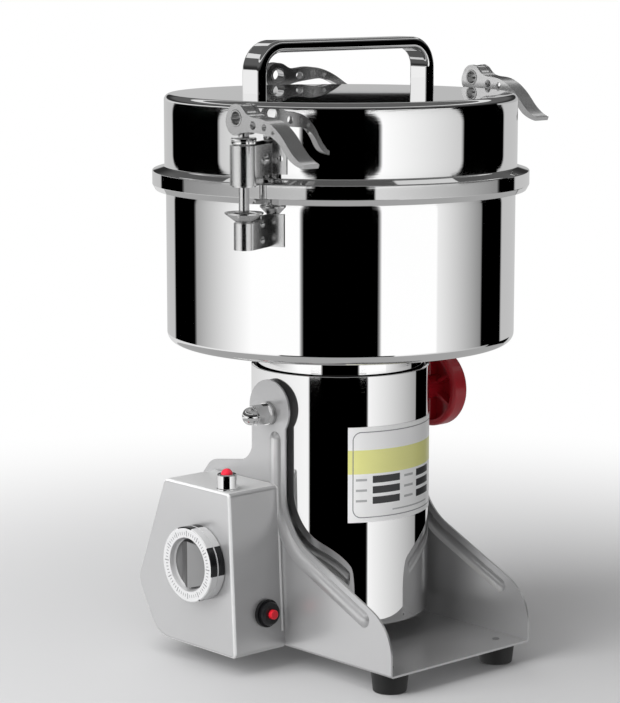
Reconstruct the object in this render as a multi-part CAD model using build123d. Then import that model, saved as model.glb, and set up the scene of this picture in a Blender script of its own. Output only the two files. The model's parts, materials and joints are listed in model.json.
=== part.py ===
"""Swing-type commercial spice grinder, every piece on its own.

Millimetres, +Z up.  The pieces are drawn about the motor's axis, with the floor at z = 0,
the tilt axis along X and the pouring side facing -Y; the export moves them all by one
shift so that the origin is the middle of the underside of the whole.
"""
import os
from math import atan2, cos, degrees, hypot, pi, radians, sin

from build123d import *

os.makedirs("parts", exist_ok=True)

# Shared fits
RUN_FIT = 0.3          # running clearance of turning and sliding pieces, on the radius
SEAT_FIT = 0.1         # clearance of pieces that only sit in their place
SNUG = 0.06            # clearance of threads, presses and bearings, on the radius
SCREW_FIT = 0.15       # clearance of a screw in its through hole

# Floor frame: one folded sheet with two cheeks
FOOT_HEIGHT = 15.0
FOOT_TOP_RADIUS = 13.5
FOOT_BOTTOM_RADIUS = 11.8
FOOT_INSET = 15.9
FOOT_FRONT_INSET = 17.6
FOOT_REAR_INSET = 12.0
FOOT_COUNTERBORE = 5.0
FOOT_EDGE = 1.2
FOOT_SCREW_RADIUS = 2.5
FOOT_SCREW_HEAD_RADIUS = 4.6
FOOT_SCREW_HEAD = 3.0
FRAME_SHEET = 1.5
FRAME_HALF_WIDTH = 68.9
FRAME_FRONT = 125.6
FRAME_REAR = 120.0
FRAME_FOLD = 2.4
PIVOT_HEIGHT = 182.0
EAR_RADIUS = 21.0
EAR_LIFT = 3.0
NECK_FRONT = 16.8
NECK_REAR = 18.2
SLOPE_TOP = 100.0
SLOPE_FALL = 0.46
SLOPE_FRONT = 51.0
NECK_SWEEP = 44.0
NOSE_RADIUS = 34.0
REAR_SHOULDER = ((NECK_REAR, 146.0, 15.0), (FRAME_REAR - 56.0, 139.0, 14.0), (FRAME_REAR - 9.0, 84.0, 25.0),
                 (FRAME_REAR, 56.0, 20.0))
BEAD_INSET = 10.0
BEAD_RADIUS = 7.5
BEAD_SINK = 4.7
BEAD_BELOW_PIVOT = 18.0
BEAD_END = 98.0

# Control box on the near cheek
BOX_DEPTH = 47.1
BOX_SHEET = 1.2
BOX_TOP = 132.0
BOX_BOTTOM = 14.0
BOX_PROFILE = ((-17.0, BOX_BOTTOM, 4.0), (-11.0, BOX_TOP, 3.0), (61.0, BOX_TOP, 4.0), (93.0, 53.0, 12.0),
               (70.0, BOX_BOTTOM, 22.0))
BOX_EDGE = 2.4
BOX_SCREWS = ((-7.0, BOX_BOTTOM + 10.0), (-3.0, BOX_TOP - 10.0), (54.0, BOX_TOP - 10.0),
              (60.0, BOX_BOTTOM + 12.0))
BOX_BOSS_RADIUS = 5.0
BOX_BOSS_LENGTH = 14.0
BOX_BOSS_CAP = 2.0
BOX_RIB = 2.0
BOX_SCREW_RADIUS = 2.0
BOX_SCREW_HEAD_RADIUS = 3.8
BOX_SCREW_HEAD = 1.5
WIRE_HOLE = (38.0, 92.0, 7.0)

# Timer, its knob and the other fittings of the box
TIMER_Y = 20.0
TIMER_Z = 78.0
TIMER_BODY = (30.0, 44.0, 46.0)
TIMER_NECK_RADIUS = 5.0
TIMER_NUT_RADIUS = 8.0
TIMER_NUT = 2.4
TIMER_SHAFT_RADIUS = 3.0
TIMER_SHAFT_OUT = 9.6
KNOB_RADIUS = 27.0
KNOB_DEPTH = 12.0
KNOB_GAP = 0.5
KNOB_HOLLOW_RADIUS = 24.0
KNOB_HOLLOW = 4.0
KNOB_SCOOP_RADIUS = 18.2
KNOB_SCOOP = 5.5
KNOB_GRIP = 4.6
LAMP_FROM_CHEEK = 37.5
LAMP_Y = 2.0
LAMP_RADIUS = 7.4
LAMP_HEIGHT = 11.5
LAMP_NECK_RADIUS = 5.5
LAMP_NECK = 9.0
LAMP_EDGE = 0.8
LAMP_LENS_RADIUS = 4.3
LAMP_LENS_DEPTH = 6.0
LAMP_DOME = 3.6
PANEL_NUT = 3.0
BREAKER_FROM_CHEEK = 17.1
BREAKER_Z = 42.5
BREAKER_FLANGE_RADIUS = 10.0
BREAKER_FLANGE = 2.6
BREAKER_NOSE_RADIUS = 8.4
BREAKER_NOSE = 7.0
BREAKER_BUTTON_RADIUS = 3.4
BREAKER_BUTTON_DEPTH = 5.0
BREAKER_BUTTON_OUT = 3.0
BREAKER_BODY_RADIUS = 7.5
BREAKER_BODY = 26.0
BREAKER_TRAVEL = 2.0
GLAND_FROM_CHEEK = 19.1
GLAND_ALONG = 0.72
GLAND_RADIUS = 9.0
GLAND_OUT = 11.0
GLAND_COLLAR = 4.0
GLAND_ROUND = 2.0
GLAND_NECK = 5.0
GLAND_NECK_RADIUS = 6.5
GLAND_BORE_RADIUS = 3.8

# Motor: its lower pieces stand on the shell's bottom, its upper ones hang from the pivots
SHELL_GAP = 2.9        # between the shell and each cheek
TILT_ROOM = 12.7       # under the shell, for its edge to swing over the tray
SHELL_RADIUS = FRAME_HALF_WIDTH - FRAME_SHEET - SHELL_GAP
SHELL_WALL = 1.5
SHELL_BOTTOM = FOOT_HEIGHT + FRAME_SHEET + TILT_ROOM
SHELL_TOP = PIVOT_HEIGHT + 29.0
SHELL_EDGE = 3.0
SHELL_INNER = SHELL_RADIUS - SHELL_WALL - SEAT_FIT
SHELL_SLOTS = 12
SHELL_SLOT = (26.0, 4.0, 38.0)
COLLAR_STEP = 4.0
COLLAR_RADIUS = SHELL_RADIUS - COLLAR_STEP
COLLAR_FLANGE = (PIVOT_HEIGHT + 17.0, PIVOT_HEIGHT + 22.5)
COLLAR_WALL = 4.0
COLLAR_PLATE = 8.0
BEARING_WALL = 4.0
LOW_BEARING = (16.0, 9.0, SHELL_BOTTOM + 14.8)
SHAFT_RADIUS = 7.5
SHAFT_BOTTOM = SHELL_BOTTOM + 10.8
SPIDER = (SHELL_BOTTOM + 24.8, SHELL_BOTTOM + 30.8)
SPIDER_RING = 6.0
SPIDER_ARM = 10.0
SPIDER_BRIDGE = 18.0
COMMUTATOR = (SHELL_BOTTOM + 33.3, SHELL_BOTTOM + 54.8, 16.0)
COMMUTATOR_BARS = 24
BRUSH = (7.0, 10.0, 24.0)
BRUSH_GAP = 0.15
BRUSH_HOLDER_WALL = 2.5
BRUSH_HOLDER_BACK = 3.5
STATOR = (SHELL_BOTTOM + 68.8, PIVOT_HEIGHT - 18.0)
STATOR_INNER = SHELL_RADIUS - 12.5
ROTOR_RADIUS = STATOR_INNER - 21.6
ROTOR_SLOTS = 16
ROTOR_SLOT = (5.0, 2.4)
POLE_RADIUS = ROTOR_RADIUS + 0.6
POLE_ANGLE = 76.0
COIL_RISE = 9.0
COIL_SPREAD = 16.0
WINDING_RADIUS = ROTOR_RADIUS - 5.4
WINDING_LENGTH = 10.0
FAN = (PIVOT_HEIGHT - 2.0, PIVOT_HEIGHT + 10.0, SHELL_RADIUS - 14.5)
FAN_HUB_RADIUS = 14.0
FAN_DISC = 1.5
FAN_BLADE = 1.6
FAN_BLADE_LEAN = 25.0
FAN_BLADES = 9

# Pivots
BOSS_RADIUS = 12.0
SPACER = 1.5
BOSS_FACE = FRAME_HALF_WIDTH - FRAME_SHEET - SPACER
BOSS_INNER = SHELL_RADIUS - 6.5
BOSS_CAP = 1.0
STUD_RADIUS = 4.0
EAR_HOLE_RADIUS = 4.4
SPACER_RADIUS = 10.0
OUTER_WASHER_RADIUS = 8.4
OUTER_WASHER = 1.8
DOME_FLANGE_RADIUS = 8.0
DOME_FLANGE = 1.8
DOME_HEX_RADIUS = 7.5
DOME_HEX = 11.0
DOME_RADIUS = 6.4
DOME_REACH = 15.0
LOCK_KNOB_RADIUS = 29.5
LOCK_KNOB_START = FRAME_HALF_WIDTH + 19.6
LOCK_KNOB_DEPTH = 14.5
LOCK_KNOB_WALL = 4.5
LOCK_KNOB_EDGE = 3.0
LOCK_KNOB_RIBS = 6
LOCK_KNOB_RIB = 2.4
LOCK_HUB_RADIUS = 9.0
LOCK_STUD_REACH = 4.0

# Bowl, seal and cutters
BOWL_RADIUS = 125.0
BOWL_WALL = 1.5
BOWL_BOTTOM = PIVOT_HEIGHT + 46.5
BOWL_EDGE = 7.0
BOWL_DEPTH = 121.5
BOWL_TOP = BOWL_BOTTOM + BOWL_DEPTH
TOP_BEARING = (17.5, 11.0, BOWL_BOTTOM - 17.5)
BOWL_SCREW_CIRCLE = COLLAR_RADIUS - 18.5
BOWL_SCREW_RADIUS = 2.5
BOWL_SCREW_HEAD_RADIUS = 4.5
BOWL_SCREW_HEAD = 2.4
BOWL_SCREW_REACH = 8.0
SEAL_RADIUS = 13.5
SEAL_GAP = 0.15        # a lip, closer to the shaft than a running fit
SEAL_RISE = 1.2
SPINDLE_RADIUS = 6.0
SPINDLE_SHOULDER = BOWL_BOTTOM + 8.0
SPINDLE_END = 1.5
BLADE_THICKNESS = 2.5
BLADE_WIDTH = 24.0
BLADE_CLIP = 18.0
BLADE_TURN = 60.0
LOW_BLADE_SPAN = 2 * (BOWL_RADIUS - BOWL_WALL - 20.5)
HIGH_BLADE_SPAN = 2 * (BOWL_RADIUS - BOWL_WALL - 38.5)
BLADE_COLLAR = 3.0
BLADE_SPACER = (12.0, 12.0)
BLADE_NUT = (11.0, 9.0)
BLADE_NUT_CHAMFER = 1.2

# Lid and handle, set from the bowl's rim
LID_STEP = 1.0
LID_RADIUS = BOWL_RADIUS + LID_STEP
LID_WALL = 1.5
LID_TOP = BOWL_TOP + 55.5
LID_EDGE = 4.5
RING_RADIUS = LID_RADIUS + 8.7
RING_BOTTOM = BOWL_TOP - 12.2
RING_BAND = (BOWL_TOP - 8.2, BOWL_TOP + 1.6)
RING_RISE = BOWL_TOP + 4.3
RING_TAPER = 2.2
RING_LIP = BOWL_RADIUS + 5.5
RING_INNER_DROP = (1.0, 1.2)   # how far the shoulder's inner face lies below its outer one, at rim and wall
GASKET_INSET = 3.5
GASKET_WIDTH = 5.5
GASKET_RISE = 1.6
HANDLE_HALF = 85.5
HANDLE_HEIGHT = 38.6
HANDLE_BAR = 8.4
HANDLE_WIDTH = 19.0
HANDLE_BEND = 18.0
HANDLE_ROUND = 2.6
HANDLE_SCREW_RADIUS = 2.5
HANDLE_SCREW_HEAD_RADIUS = 5.0
HANDLE_SCREW_HEAD = 3.0
HANDLE_SCREW_REACH = 14.0

# Latches: name, angle round the pot, heading of the lever, and the rod's and lever's lift in the photograph
LATCHES = (("front", 201.9, -90.0, 0.0, 0.0), ("side", 3.5, -90.0, 15.0, 0.0),
           ("rear", 66.7, -22.0, 15.0, 12.0))
LATCH_CIRCLE = RING_RADIUS + 15.3
SLEEVE_RADIUS = 8.0
SLEEVE = (BOWL_TOP + 1.0, BOWL_TOP + 29.0)
STRAP = 1.3
STRAP_FOOT = BOWL_TOP + 7.8
STRAP_TAB = 10.0
STRAP_HEM = (1.0, 0.6)
STRAP_HEAD = 4.6
STRAP_HEAD_FLAT = 1.9
TAB_HEAD = 4.2
TAB_HEAD_SINK = 2.6
TAB_TAIL = (3.2, 1.0)
CAP_RADIUS = 8.5
CAP = 4.4
CAP_FIT = 0.2
ROD_RADIUS = 3.5
ROD_FLAT = 3.1
ROD_TEE = 4.4
ROD_TEE_HEIGHT = 3.0
ROD_TEE_WIDTH = 2.2
PIN_HEIGHT = SLEEVE[1] + 17.5
PIN_RADIUS = 5.6
PIN_BORE_RADIUS = 4.3
PIN_LENGTH = 14.2
ROD_EYE_RADIUS = 9.0
LEVER_WIDTH = 13.4
LEVER_CHEEK = 2.2
LEVER_HEAD_RADIUS = 9.4
LEVER_LOBE = (-1.2, -2.2, 9.3)
LEVER_TOP = ((7.2, 6.2), (13.4, 1.9), (24.8, 0.6), (33.5, -2.0), (41.0, -6.6), (47.2, -12.1), (52.6, -18.0),
             (59.4, -23.6), (66.7, -27.0))
LEVER_UNDER = ((65.6, -29.6), (58.2, -27.6), (51.6, -23.9), (45.9, -17.9), (39.7, -13.0), (33.5, -10.2),
               (23.4, -9.0), (12.0, -8.6), (5.0, -9.6))
LEVER_HOLES = ((16.9, -4.0, 2.8), (27.9, -4.9, 2.2), (36.6, -7.8, 1.5))
LEVER_FORK = 9.6
LEVER_FORK_END = 42.0
CATCH_BOTTOM = BOWL_TOP - 38.5
CATCH_THROAT = (CATCH_BOTTOM + 10.5, CATCH_BOTTOM + 16.5)
CATCH_TOP = CATCH_BOTTOM + 22.5
CATCH_FUNNEL_RADIUS = 13.0
CATCH_FUNNEL_WALL = 1.2
CATCH_RADIUS = 5.6
CATCH_CHAMBER_RADIUS = 4.8
CATCH_STRAP = (CATCH_BOTTOM - 2.5, CATCH_BOTTOM + 19.5)
ROD_FOOT = CATCH_BOTTOM + 2.0
RIVET_RADIUS = 2.0
CATCH_RIVET_RADIUS = 1.6
CATCH_RIVET_HEAD = (3.0, 1.4)
CATCH_RIVET_INSET = 8.0
CATCH_RIVET_HEM = 5.5

# Rating label on the motor, no lettering
LABEL_START = -128.0
LABEL_SWEEP = 84.0
LABEL_Z = (PIVOT_HEIGHT - 75.5, PIVOT_HEIGHT - 7.0)
LABEL_THICKNESS = 0.25


def rod(radius, z0, z1, x=0.0, y=0.0):
    """Upright cylinder between two heights."""
    return Pos(x, y, z0) * Cylinder(radius, z1 - z0, align=(Align.CENTER, Align.CENTER, Align.MIN))


def tube(outer, inner, z0, z1, x=0.0, y=0.0):
    return rod(outer, z0, z1, x, y) - rod(inner, z0 - 1, z1 + 1, x, y)


def bar_x(radius, x0, x1, y=0.0, z=0.0):
    """Cylinder along X between two places."""
    low, high = min(x0, x1), max(x0, x1)
    turned = Rot(0, 90, 0) * Cylinder(radius, high - low, align=(Align.CENTER, Align.CENTER, Align.MIN))
    return Pos(low, y, z) * turned


def block(x0, x1, y0, y1, z0, z1):
    return Pos((x0 + x1) / 2, (y0 + y1) / 2, (z0 + z1) / 2) * Box(x1 - x0, y1 - y0, z1 - z0)


def spun(points):
    """Solid of revolution from (radius, height) points."""
    face = make_face(Plane.XZ * Polyline(*[(r, z) for r, z in points], close=True))
    return revolve(face, Axis.Z)


def rounded_outline(corners):
    """Closed outline whose corners (a, b, radius) are rounded one by one."""
    face = make_face(Polyline(*[(a, b) for a, b, _ in corners], close=True))
    for a, b, radius in corners:
        if radius > 0:
            corner = face.vertices().sort_by_distance((a, b, 0))[0]
            face = fillet([corner], radius)
    return face


def side_plate(face, x0, x1):
    """A face drawn in (y, z) made solid between two x planes."""
    return Pos(x0, 0, 0) * extrude(Plane.YZ * face, amount=x1 - x0)


def group(*shapes):
    """Separate solids that share one node."""
    return Compound([solid for shape in shapes for solid in shape.solids()])


def cheek_outline():
    nose_z = SLOPE_TOP - SLOPE_FALL * (FRAME_FRONT - NECK_FRONT)
    corners = [(-FRAME_FRONT, FOOT_HEIGHT, 0), (-FRAME_FRONT, nose_z, NOSE_RADIUS),
               (-NECK_FRONT, SLOPE_TOP, NECK_SWEEP), (-NECK_FRONT, PIVOT_HEIGHT + EAR_LIFT, 0),
               (NECK_REAR, PIVOT_HEIGHT + EAR_LIFT, 0)]
    corners += list(REAR_SHOULDER) + [(FRAME_REAR, FOOT_HEIGHT, 0)]
    ear = Pos(0.0, PIVOT_HEIGHT + EAR_LIFT) * Circle(EAR_RADIUS)
    return rounded_outline(corners) + ear


def bead_path(x):
    """Middle line of the pressed bead, at one inset from the front edge of the cheek."""
    run = hypot(1.0, SLOPE_FALL)
    y_line = -NECK_FRONT + BEAD_INSET
    z_corner = SLOPE_TOP + SLOPE_FALL * BEAD_INSET - BEAD_INSET * run
    z_end = z_corner - SLOPE_FALL * (BEAD_END + y_line)
    points = [(x, y_line, PIVOT_HEIGHT - BEAD_BELOW_PIVOT), (x, y_line, z_corner), (x, -BEAD_END, z_end)]
    return FilletPolyline(*points, radius=NECK_SWEEP + BEAD_INSET), points


def bead(x, radius):
    path, points = bead_path(x)
    body = sweep(Plane(origin=points[0], z_dir=(0, 0, -1)) * Circle(radius), path=path)
    return body + Pos(*points[0]) * Sphere(radius) + Pos(*points[2]) * Sphere(radius)


def base_frame():
    outer, inner = FRAME_HALF_WIDTH, FRAME_HALF_WIDTH - FRAME_SHEET
    floor = block(-outer, outer, -FRAME_FRONT, FRAME_REAR, FOOT_HEIGHT, FOOT_HEIGHT + FRAME_SHEET)
    outline = cheek_outline()
    body = floor + side_plate(outline, -outer, -inner) + side_plate(outline, inner, outer)
    folds = body.edges().filter_by(Axis.Y).filter_by(lambda e: e.length > FRAME_FRONT)
    body = fillet(folds.filter_by(lambda e: e.center().Z < FOOT_HEIGHT + 0.1), FRAME_FOLD)
    bay = block(-inner, inner, -FRAME_FRONT, FRAME_REAR, FOOT_HEIGHT, PIVOT_HEIGHT)
    under_box = side_plate(offset(rounded_outline(BOX_PROFILE), SEAT_FIT), -outer - BEAD_RADIUS,
                           -inner + BEAD_RADIUS + BEAD_SINK)
    for side in (-1, 1):
        middle = side * (outer - BEAD_SINK)
        ridge, groove = bead(middle, BEAD_RADIUS), bead(middle, BEAD_RADIUS - FRAME_SHEET)
        body += ridge - under_box - bay
        body -= groove - under_box
        body -= bar_x(EAR_HOLE_RADIUS, side * (inner - 1), side * (outer + 1), 0, PIVOT_HEIGHT)
    for y, z in BOX_SCREWS:
        body -= bar_x(BOX_SCREW_RADIUS + SCREW_FIT, -outer - 1, -inner + 1, y, z)
    body -= bar_x(WIRE_HOLE[2], -outer - 1, -inner + 1, WIRE_HOLE[0], WIRE_HOLE[1])
    for x, y in foot_places():
        body -= rod(FOOT_SCREW_RADIUS + SCREW_FIT, FOOT_HEIGHT - 1, FOOT_HEIGHT + FRAME_SHEET + 1, x, y)
    return body


def foot_places():
    x = FRAME_HALF_WIDTH - FOOT_INSET
    rows = (FOOT_FRONT_INSET - FRAME_FRONT, FRAME_REAR - FOOT_REAR_INSET)
    return [(side * x, y) for side in (-1, 1) for y in rows]


def rubber_feet():
    feet = []
    for x, y in foot_places():
        foot = Pos(x, y, FOOT_HEIGHT / 2) * Cone(FOOT_BOTTOM_RADIUS, FOOT_TOP_RADIUS, FOOT_HEIGHT)
        foot = fillet(foot.edges().sort_by(Axis.Z)[0], FOOT_EDGE)
        foot -= rod(FOOT_SCREW_RADIUS + SCREW_FIT, -1, FOOT_HEIGHT + 1, x, y)
        foot -= rod(FOOT_SCREW_HEAD_RADIUS + SCREW_FIT, -1, FOOT_COUNTERBORE, x, y)
        feet.append(foot)
    return group(*feet)


def foot_screws():
    screws = []
    for x, y in foot_places():
        head = rod(FOOT_SCREW_HEAD_RADIUS, FOOT_COUNTERBORE - FOOT_SCREW_HEAD, FOOT_COUNTERBORE, x, y)
        shank = rod(FOOT_SCREW_RADIUS, FOOT_COUNTERBORE - 1, FOOT_HEIGHT + FRAME_SHEET + 0.4, x, y)
        screws.append(head + shank)
    return group(*screws)


def box_face_x():
    return -FRAME_HALF_WIDTH - BOX_DEPTH


def control_box():
    outline = rounded_outline(BOX_PROFILE)
    body = side_plate(outline, box_face_x(), -FRAME_HALF_WIDTH)
    body = fillet(body.faces().sort_by(Axis.X)[0].edges(), BOX_EDGE)
    hollow = offset(outline, -BOX_SHEET)
    body -= side_plate(hollow, box_face_x() + BOX_SHEET, -FRAME_HALF_WIDTH + 1)
    for y, z in BOX_SCREWS:
        boss = bar_x(BOX_BOSS_RADIUS, -FRAME_HALF_WIDTH - BOX_BOSS_LENGTH, -FRAME_HALF_WIDTH, y, z)
        wall = BOX_TOP - BOX_SHEET / 2 if z > (BOX_TOP + BOX_BOTTOM) / 2 else BOX_BOTTOM + BOX_SHEET / 2
        rib = block(-FRAME_HALF_WIDTH - BOX_BOSS_LENGTH, -FRAME_HALF_WIDTH, y - BOX_RIB / 2, y + BOX_RIB / 2,
                    min(z, wall), max(z, wall))
        body += boss + rib
    for y, z in BOX_SCREWS:
        body -= bar_x(BOX_SCREW_RADIUS + SNUG, -FRAME_HALF_WIDTH - BOX_BOSS_LENGTH + BOX_BOSS_CAP,
                      -FRAME_HALF_WIDTH + 1, y, z)
    face = box_face_x()
    body -= bar_x(TIMER_NECK_RADIUS + SEAT_FIT, face - 1, face + BOX_SHEET + 1, TIMER_Y, TIMER_Z)
    body -= rod(LAMP_NECK_RADIUS + SEAT_FIT, BOX_TOP - BOX_SHEET - 1, BOX_TOP + 1, lamp_x(), LAMP_Y)
    body -= on_front_face(rod(BREAKER_BODY_RADIUS + SEAT_FIT, -BOX_SHEET - 1, 1))
    body -= on_rear_face(rod(GLAND_NECK_RADIUS + SEAT_FIT, -BOX_SHEET - 1, 1))
    return body


def lamp_x():
    return -FRAME_HALF_WIDTH - LAMP_FROM_CHEEK


def on_front_face(shape):
    """Set a fitting drawn along +Z on the front face of the box, pointing outwards."""
    (y0, z0, _), (y1, z1, _) = BOX_PROFILE[0], BOX_PROFILE[1]
    lean = degrees(atan2(y1 - y0, z1 - z0))
    y = y0 + (y1 - y0) * (BREAKER_Z - z0) / (z1 - z0)
    return Pos(-FRAME_HALF_WIDTH - BREAKER_FROM_CHEEK, y, BREAKER_Z) * Rot(90 - lean, 0, 0) * shape


def on_rear_face(shape):
    """Set a fitting drawn along +Z on the sloping rear face of the box, pointing outwards."""
    (y0, z0, _), (y1, z1, _) = BOX_PROFILE[2], BOX_PROFILE[3]
    lean = degrees(atan2(z0 - z1, y1 - y0))
    y, z = y0 + (y1 - y0) * GLAND_ALONG, z0 + (z1 - z0) * GLAND_ALONG
    return Pos(-FRAME_HALF_WIDTH - GLAND_FROM_CHEEK, y, z) * Rot(-lean, 0, 0) * shape


def control_box_screws():
    inner = FRAME_HALF_WIDTH - FRAME_SHEET
    screws = []
    for y, z in BOX_SCREWS:
        head = bar_x(BOX_SCREW_HEAD_RADIUS, -inner, -inner + BOX_SCREW_HEAD, y, z)
        screws.append(head + bar_x(BOX_SCREW_RADIUS, -FRAME_HALF_WIDTH - 9, -inner + 0.5, y, z))
    return group(*screws)


def timer_body():
    depth, width, height = TIMER_BODY
    x = box_face_x() + BOX_SHEET
    body = block(x, x + depth, TIMER_Y - width / 2, TIMER_Y + width / 2,
                 TIMER_Z - height / 2, TIMER_Z + height / 2)
    body = fillet(body.edges().filter_by(Axis.X), 3)
    body += bar_x(TIMER_NECK_RADIUS, box_face_x() - TIMER_NUT, x + 1, TIMER_Y, TIMER_Z)
    return body - bar_x(TIMER_SHAFT_RADIUS + RUN_FIT, x - 10, x + 12, TIMER_Y, TIMER_Z)


def timer_nut():
    """Each panel fitting is held by its own nut."""
    face = box_face_x()
    hexagon = Plane.YZ * RegularPolygon(TIMER_NUT_RADIUS, 6)
    nut = Pos(face - TIMER_NUT, TIMER_Y, TIMER_Z) * extrude(hexagon, amount=TIMER_NUT)
    return nut - bar_x(TIMER_NECK_RADIUS + SNUG, face - 10, face + 5, TIMER_Y, TIMER_Z)


def timer_shaft():
    face = box_face_x()
    return bar_x(TIMER_SHAFT_RADIUS, face - TIMER_SHAFT_OUT, face + BOX_SHEET + 10, TIMER_Y, TIMER_Z)


def timer_knob():
    back = box_face_x() - KNOB_GAP
    front = back - KNOB_DEPTH
    knob = bar_x(KNOB_RADIUS, front, back, TIMER_Y, TIMER_Z)
    knob = fillet(knob.edges().filter_by(GeomType.CIRCLE).sort_by(Axis.X)[0], 0.9)
    knob -= bar_x(KNOB_HOLLOW_RADIUS, back - KNOB_HOLLOW, back + 1, TIMER_Y, TIMER_Z)
    scoop = bar_x(KNOB_SCOOP_RADIUS, front - 1, front + KNOB_SCOOP, TIMER_Y, TIMER_Z)
    scoop = fillet(scoop.edges().filter_by(GeomType.CIRCLE).sort_by(Axis.X)[-1], 3.5)
    grip = block(front, front + KNOB_SCOOP + 1, TIMER_Y - KNOB_GRIP / 2, TIMER_Y + KNOB_GRIP / 2,
                 TIMER_Z - KNOB_SCOOP_RADIUS - 1, TIMER_Z + KNOB_SCOOP_RADIUS + 1)
    knob = knob - scoop + grip
    return knob - bar_x(TIMER_SHAFT_RADIUS + SNUG, box_face_x() - TIMER_SHAFT_OUT - SNUG, back + 1,
                        TIMER_Y, TIMER_Z)


def lamp_bezel():
    x, z = lamp_x(), BOX_TOP
    body = rod(LAMP_RADIUS, z, z + LAMP_HEIGHT, x, LAMP_Y)
    body = fillet(body.edges().filter_by(GeomType.CIRCLE).sort_by(Axis.Z)[-1], LAMP_EDGE)
    body += rod(LAMP_NECK_RADIUS, z - LAMP_NECK, z + 1, x, LAMP_Y)
    top = z + LAMP_HEIGHT
    return body - rod(LAMP_LENS_RADIUS + SEAT_FIT, top - LAMP_LENS_DEPTH, top + 1, x, LAMP_Y)


def lamp_lens():
    x, z = lamp_x(), BOX_TOP + LAMP_HEIGHT
    ball = LAMP_LENS_RADIUS ** 2 / (2 * LAMP_DOME) + LAMP_DOME / 2
    dome = Pos(x, LAMP_Y, z + LAMP_DOME - ball) * Sphere(ball)
    dome &= rod(LAMP_LENS_RADIUS, z, z + 2 * LAMP_DOME, x, LAMP_Y)
    return dome + rod(LAMP_LENS_RADIUS, z - LAMP_LENS_DEPTH, z, x, LAMP_Y)


def lamp_nut():
    x, z = lamp_x(), BOX_TOP - BOX_SHEET
    nut = Pos(x, LAMP_Y, z - PANEL_NUT) * extrude(RegularPolygon(LAMP_RADIUS + 0.8, 6), amount=PANEL_NUT)
    return nut - rod(LAMP_NECK_RADIUS + SNUG, z - PANEL_NUT - 1, z + 1, x, LAMP_Y)


def breaker_body():
    body = rod(BREAKER_FLANGE_RADIUS, 0, BREAKER_FLANGE) + rod(BREAKER_NOSE_RADIUS, 0, BREAKER_NOSE)
    body = fillet(body.edges().filter_by(GeomType.CIRCLE).sort_by(Axis.Z)[-1], 2.2)
    body += rod(BREAKER_BODY_RADIUS, -BREAKER_BODY, 1)
    well = BREAKER_BUTTON_RADIUS + RUN_FIT
    bottom = BREAKER_NOSE - BREAKER_BUTTON_DEPTH - BREAKER_TRAVEL
    return on_front_face(body - rod(well, bottom, BREAKER_NOSE + 1))


def breaker_nut():
    nut = extrude(RegularPolygon(BREAKER_FLANGE_RADIUS + 0.6, 6), amount=-PANEL_NUT)
    bore = rod(BREAKER_BODY_RADIUS + SNUG, -BOX_SHEET - PANEL_NUT - 1, 1)
    return on_front_face(Pos(0, 0, -BOX_SHEET) * nut - bore)


def breaker_button():
    top = BREAKER_NOSE + BREAKER_BUTTON_OUT
    button = rod(BREAKER_BUTTON_RADIUS, BREAKER_NOSE - BREAKER_BUTTON_DEPTH, top)
    return on_front_face(fillet(button.edges().filter_by(GeomType.CIRCLE).sort_by(Axis.Z)[-1], 0.8))


def cable_gland():
    body = rod(GLAND_RADIUS, 0, GLAND_COLLAR) + rod(GLAND_RADIUS - 1.2, 0, GLAND_OUT)
    body = fillet(body.edges().filter_by(GeomType.CIRCLE).sort_by(Axis.Z)[-1], GLAND_ROUND)
    body += rod(GLAND_NECK_RADIUS, -BOX_SHEET - GLAND_NECK, 1)
    return on_rear_face(body - rod(GLAND_BORE_RADIUS, -BOX_SHEET - GLAND_NECK - 1, GLAND_OUT + 1))


def gland_nut():
    nut = Pos(0, 0, -BOX_SHEET) * extrude(RegularPolygon(GLAND_RADIUS, 6), amount=-PANEL_NUT)
    return on_rear_face(nut - rod(GLAND_NECK_RADIUS + SNUG, -BOX_SHEET - PANEL_NUT - 1, 1))


def panel_nuts():
    return group(timer_nut(), lamp_nut(), breaker_nut(), gland_nut())


def pivot_boss(side):
    """Threaded bush welded into the motor's shell."""
    boss = bar_x(BOSS_RADIUS, side * BOSS_INNER, side * BOSS_FACE, 0, PIVOT_HEIGHT)
    return boss - bar_x(STUD_RADIUS + SNUG, side * (BOSS_INNER + BOSS_CAP - SNUG), side * (BOSS_FACE + 1),
                        0, PIVOT_HEIGHT)


def pivot_washers():
    """A spacer inside each ear and a washer outside it."""
    outer, inner = FRAME_HALF_WIDTH, FRAME_HALF_WIDTH - FRAME_SHEET
    rings = []
    for s in (-1, 1):
        hole = bar_x(STUD_RADIUS + SEAT_FIT, s * BOSS_INNER, s * (outer + OUTER_WASHER + 1), 0, PIVOT_HEIGHT)
        rings.append(bar_x(SPACER_RADIUS, s * BOSS_FACE, s * inner, 0, PIVOT_HEIGHT) - hole)
        washer = bar_x(OUTER_WASHER_RADIUS, s * outer, s * (outer + OUTER_WASHER), 0, PIVOT_HEIGHT)
        rings.append(washer - hole)
    return group(*rings)


def pivot_bolt():
    """Bolt with a flanged, domed hexagon head, screwed into the near boss."""
    x = -(FRAME_HALF_WIDTH + OUTER_WASHER)
    shank = bar_x(STUD_RADIUS, x - 1, -(BOSS_INNER + BOSS_CAP), 0, PIVOT_HEIGHT)
    flange = bar_x(DOME_FLANGE_RADIUS, x, x - DOME_FLANGE, 0, PIVOT_HEIGHT)
    hexagon = Plane.YZ * RegularPolygon(DOME_HEX_RADIUS, 6)
    head = Pos(x - DOME_FLANGE - DOME_HEX, 0, PIVOT_HEIGHT) * extrude(hexagon, amount=DOME_HEX)
    dome = Pos(x - DOME_REACH, 0, PIVOT_HEIGHT) * Sphere(DOME_RADIUS)
    return flange + head + dome + shank


def lock_stud():
    return bar_x(STUD_RADIUS, BOSS_INNER + BOSS_CAP, LOCK_KNOB_START + LOCK_STUD_REACH, 0, PIVOT_HEIGHT)


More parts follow.
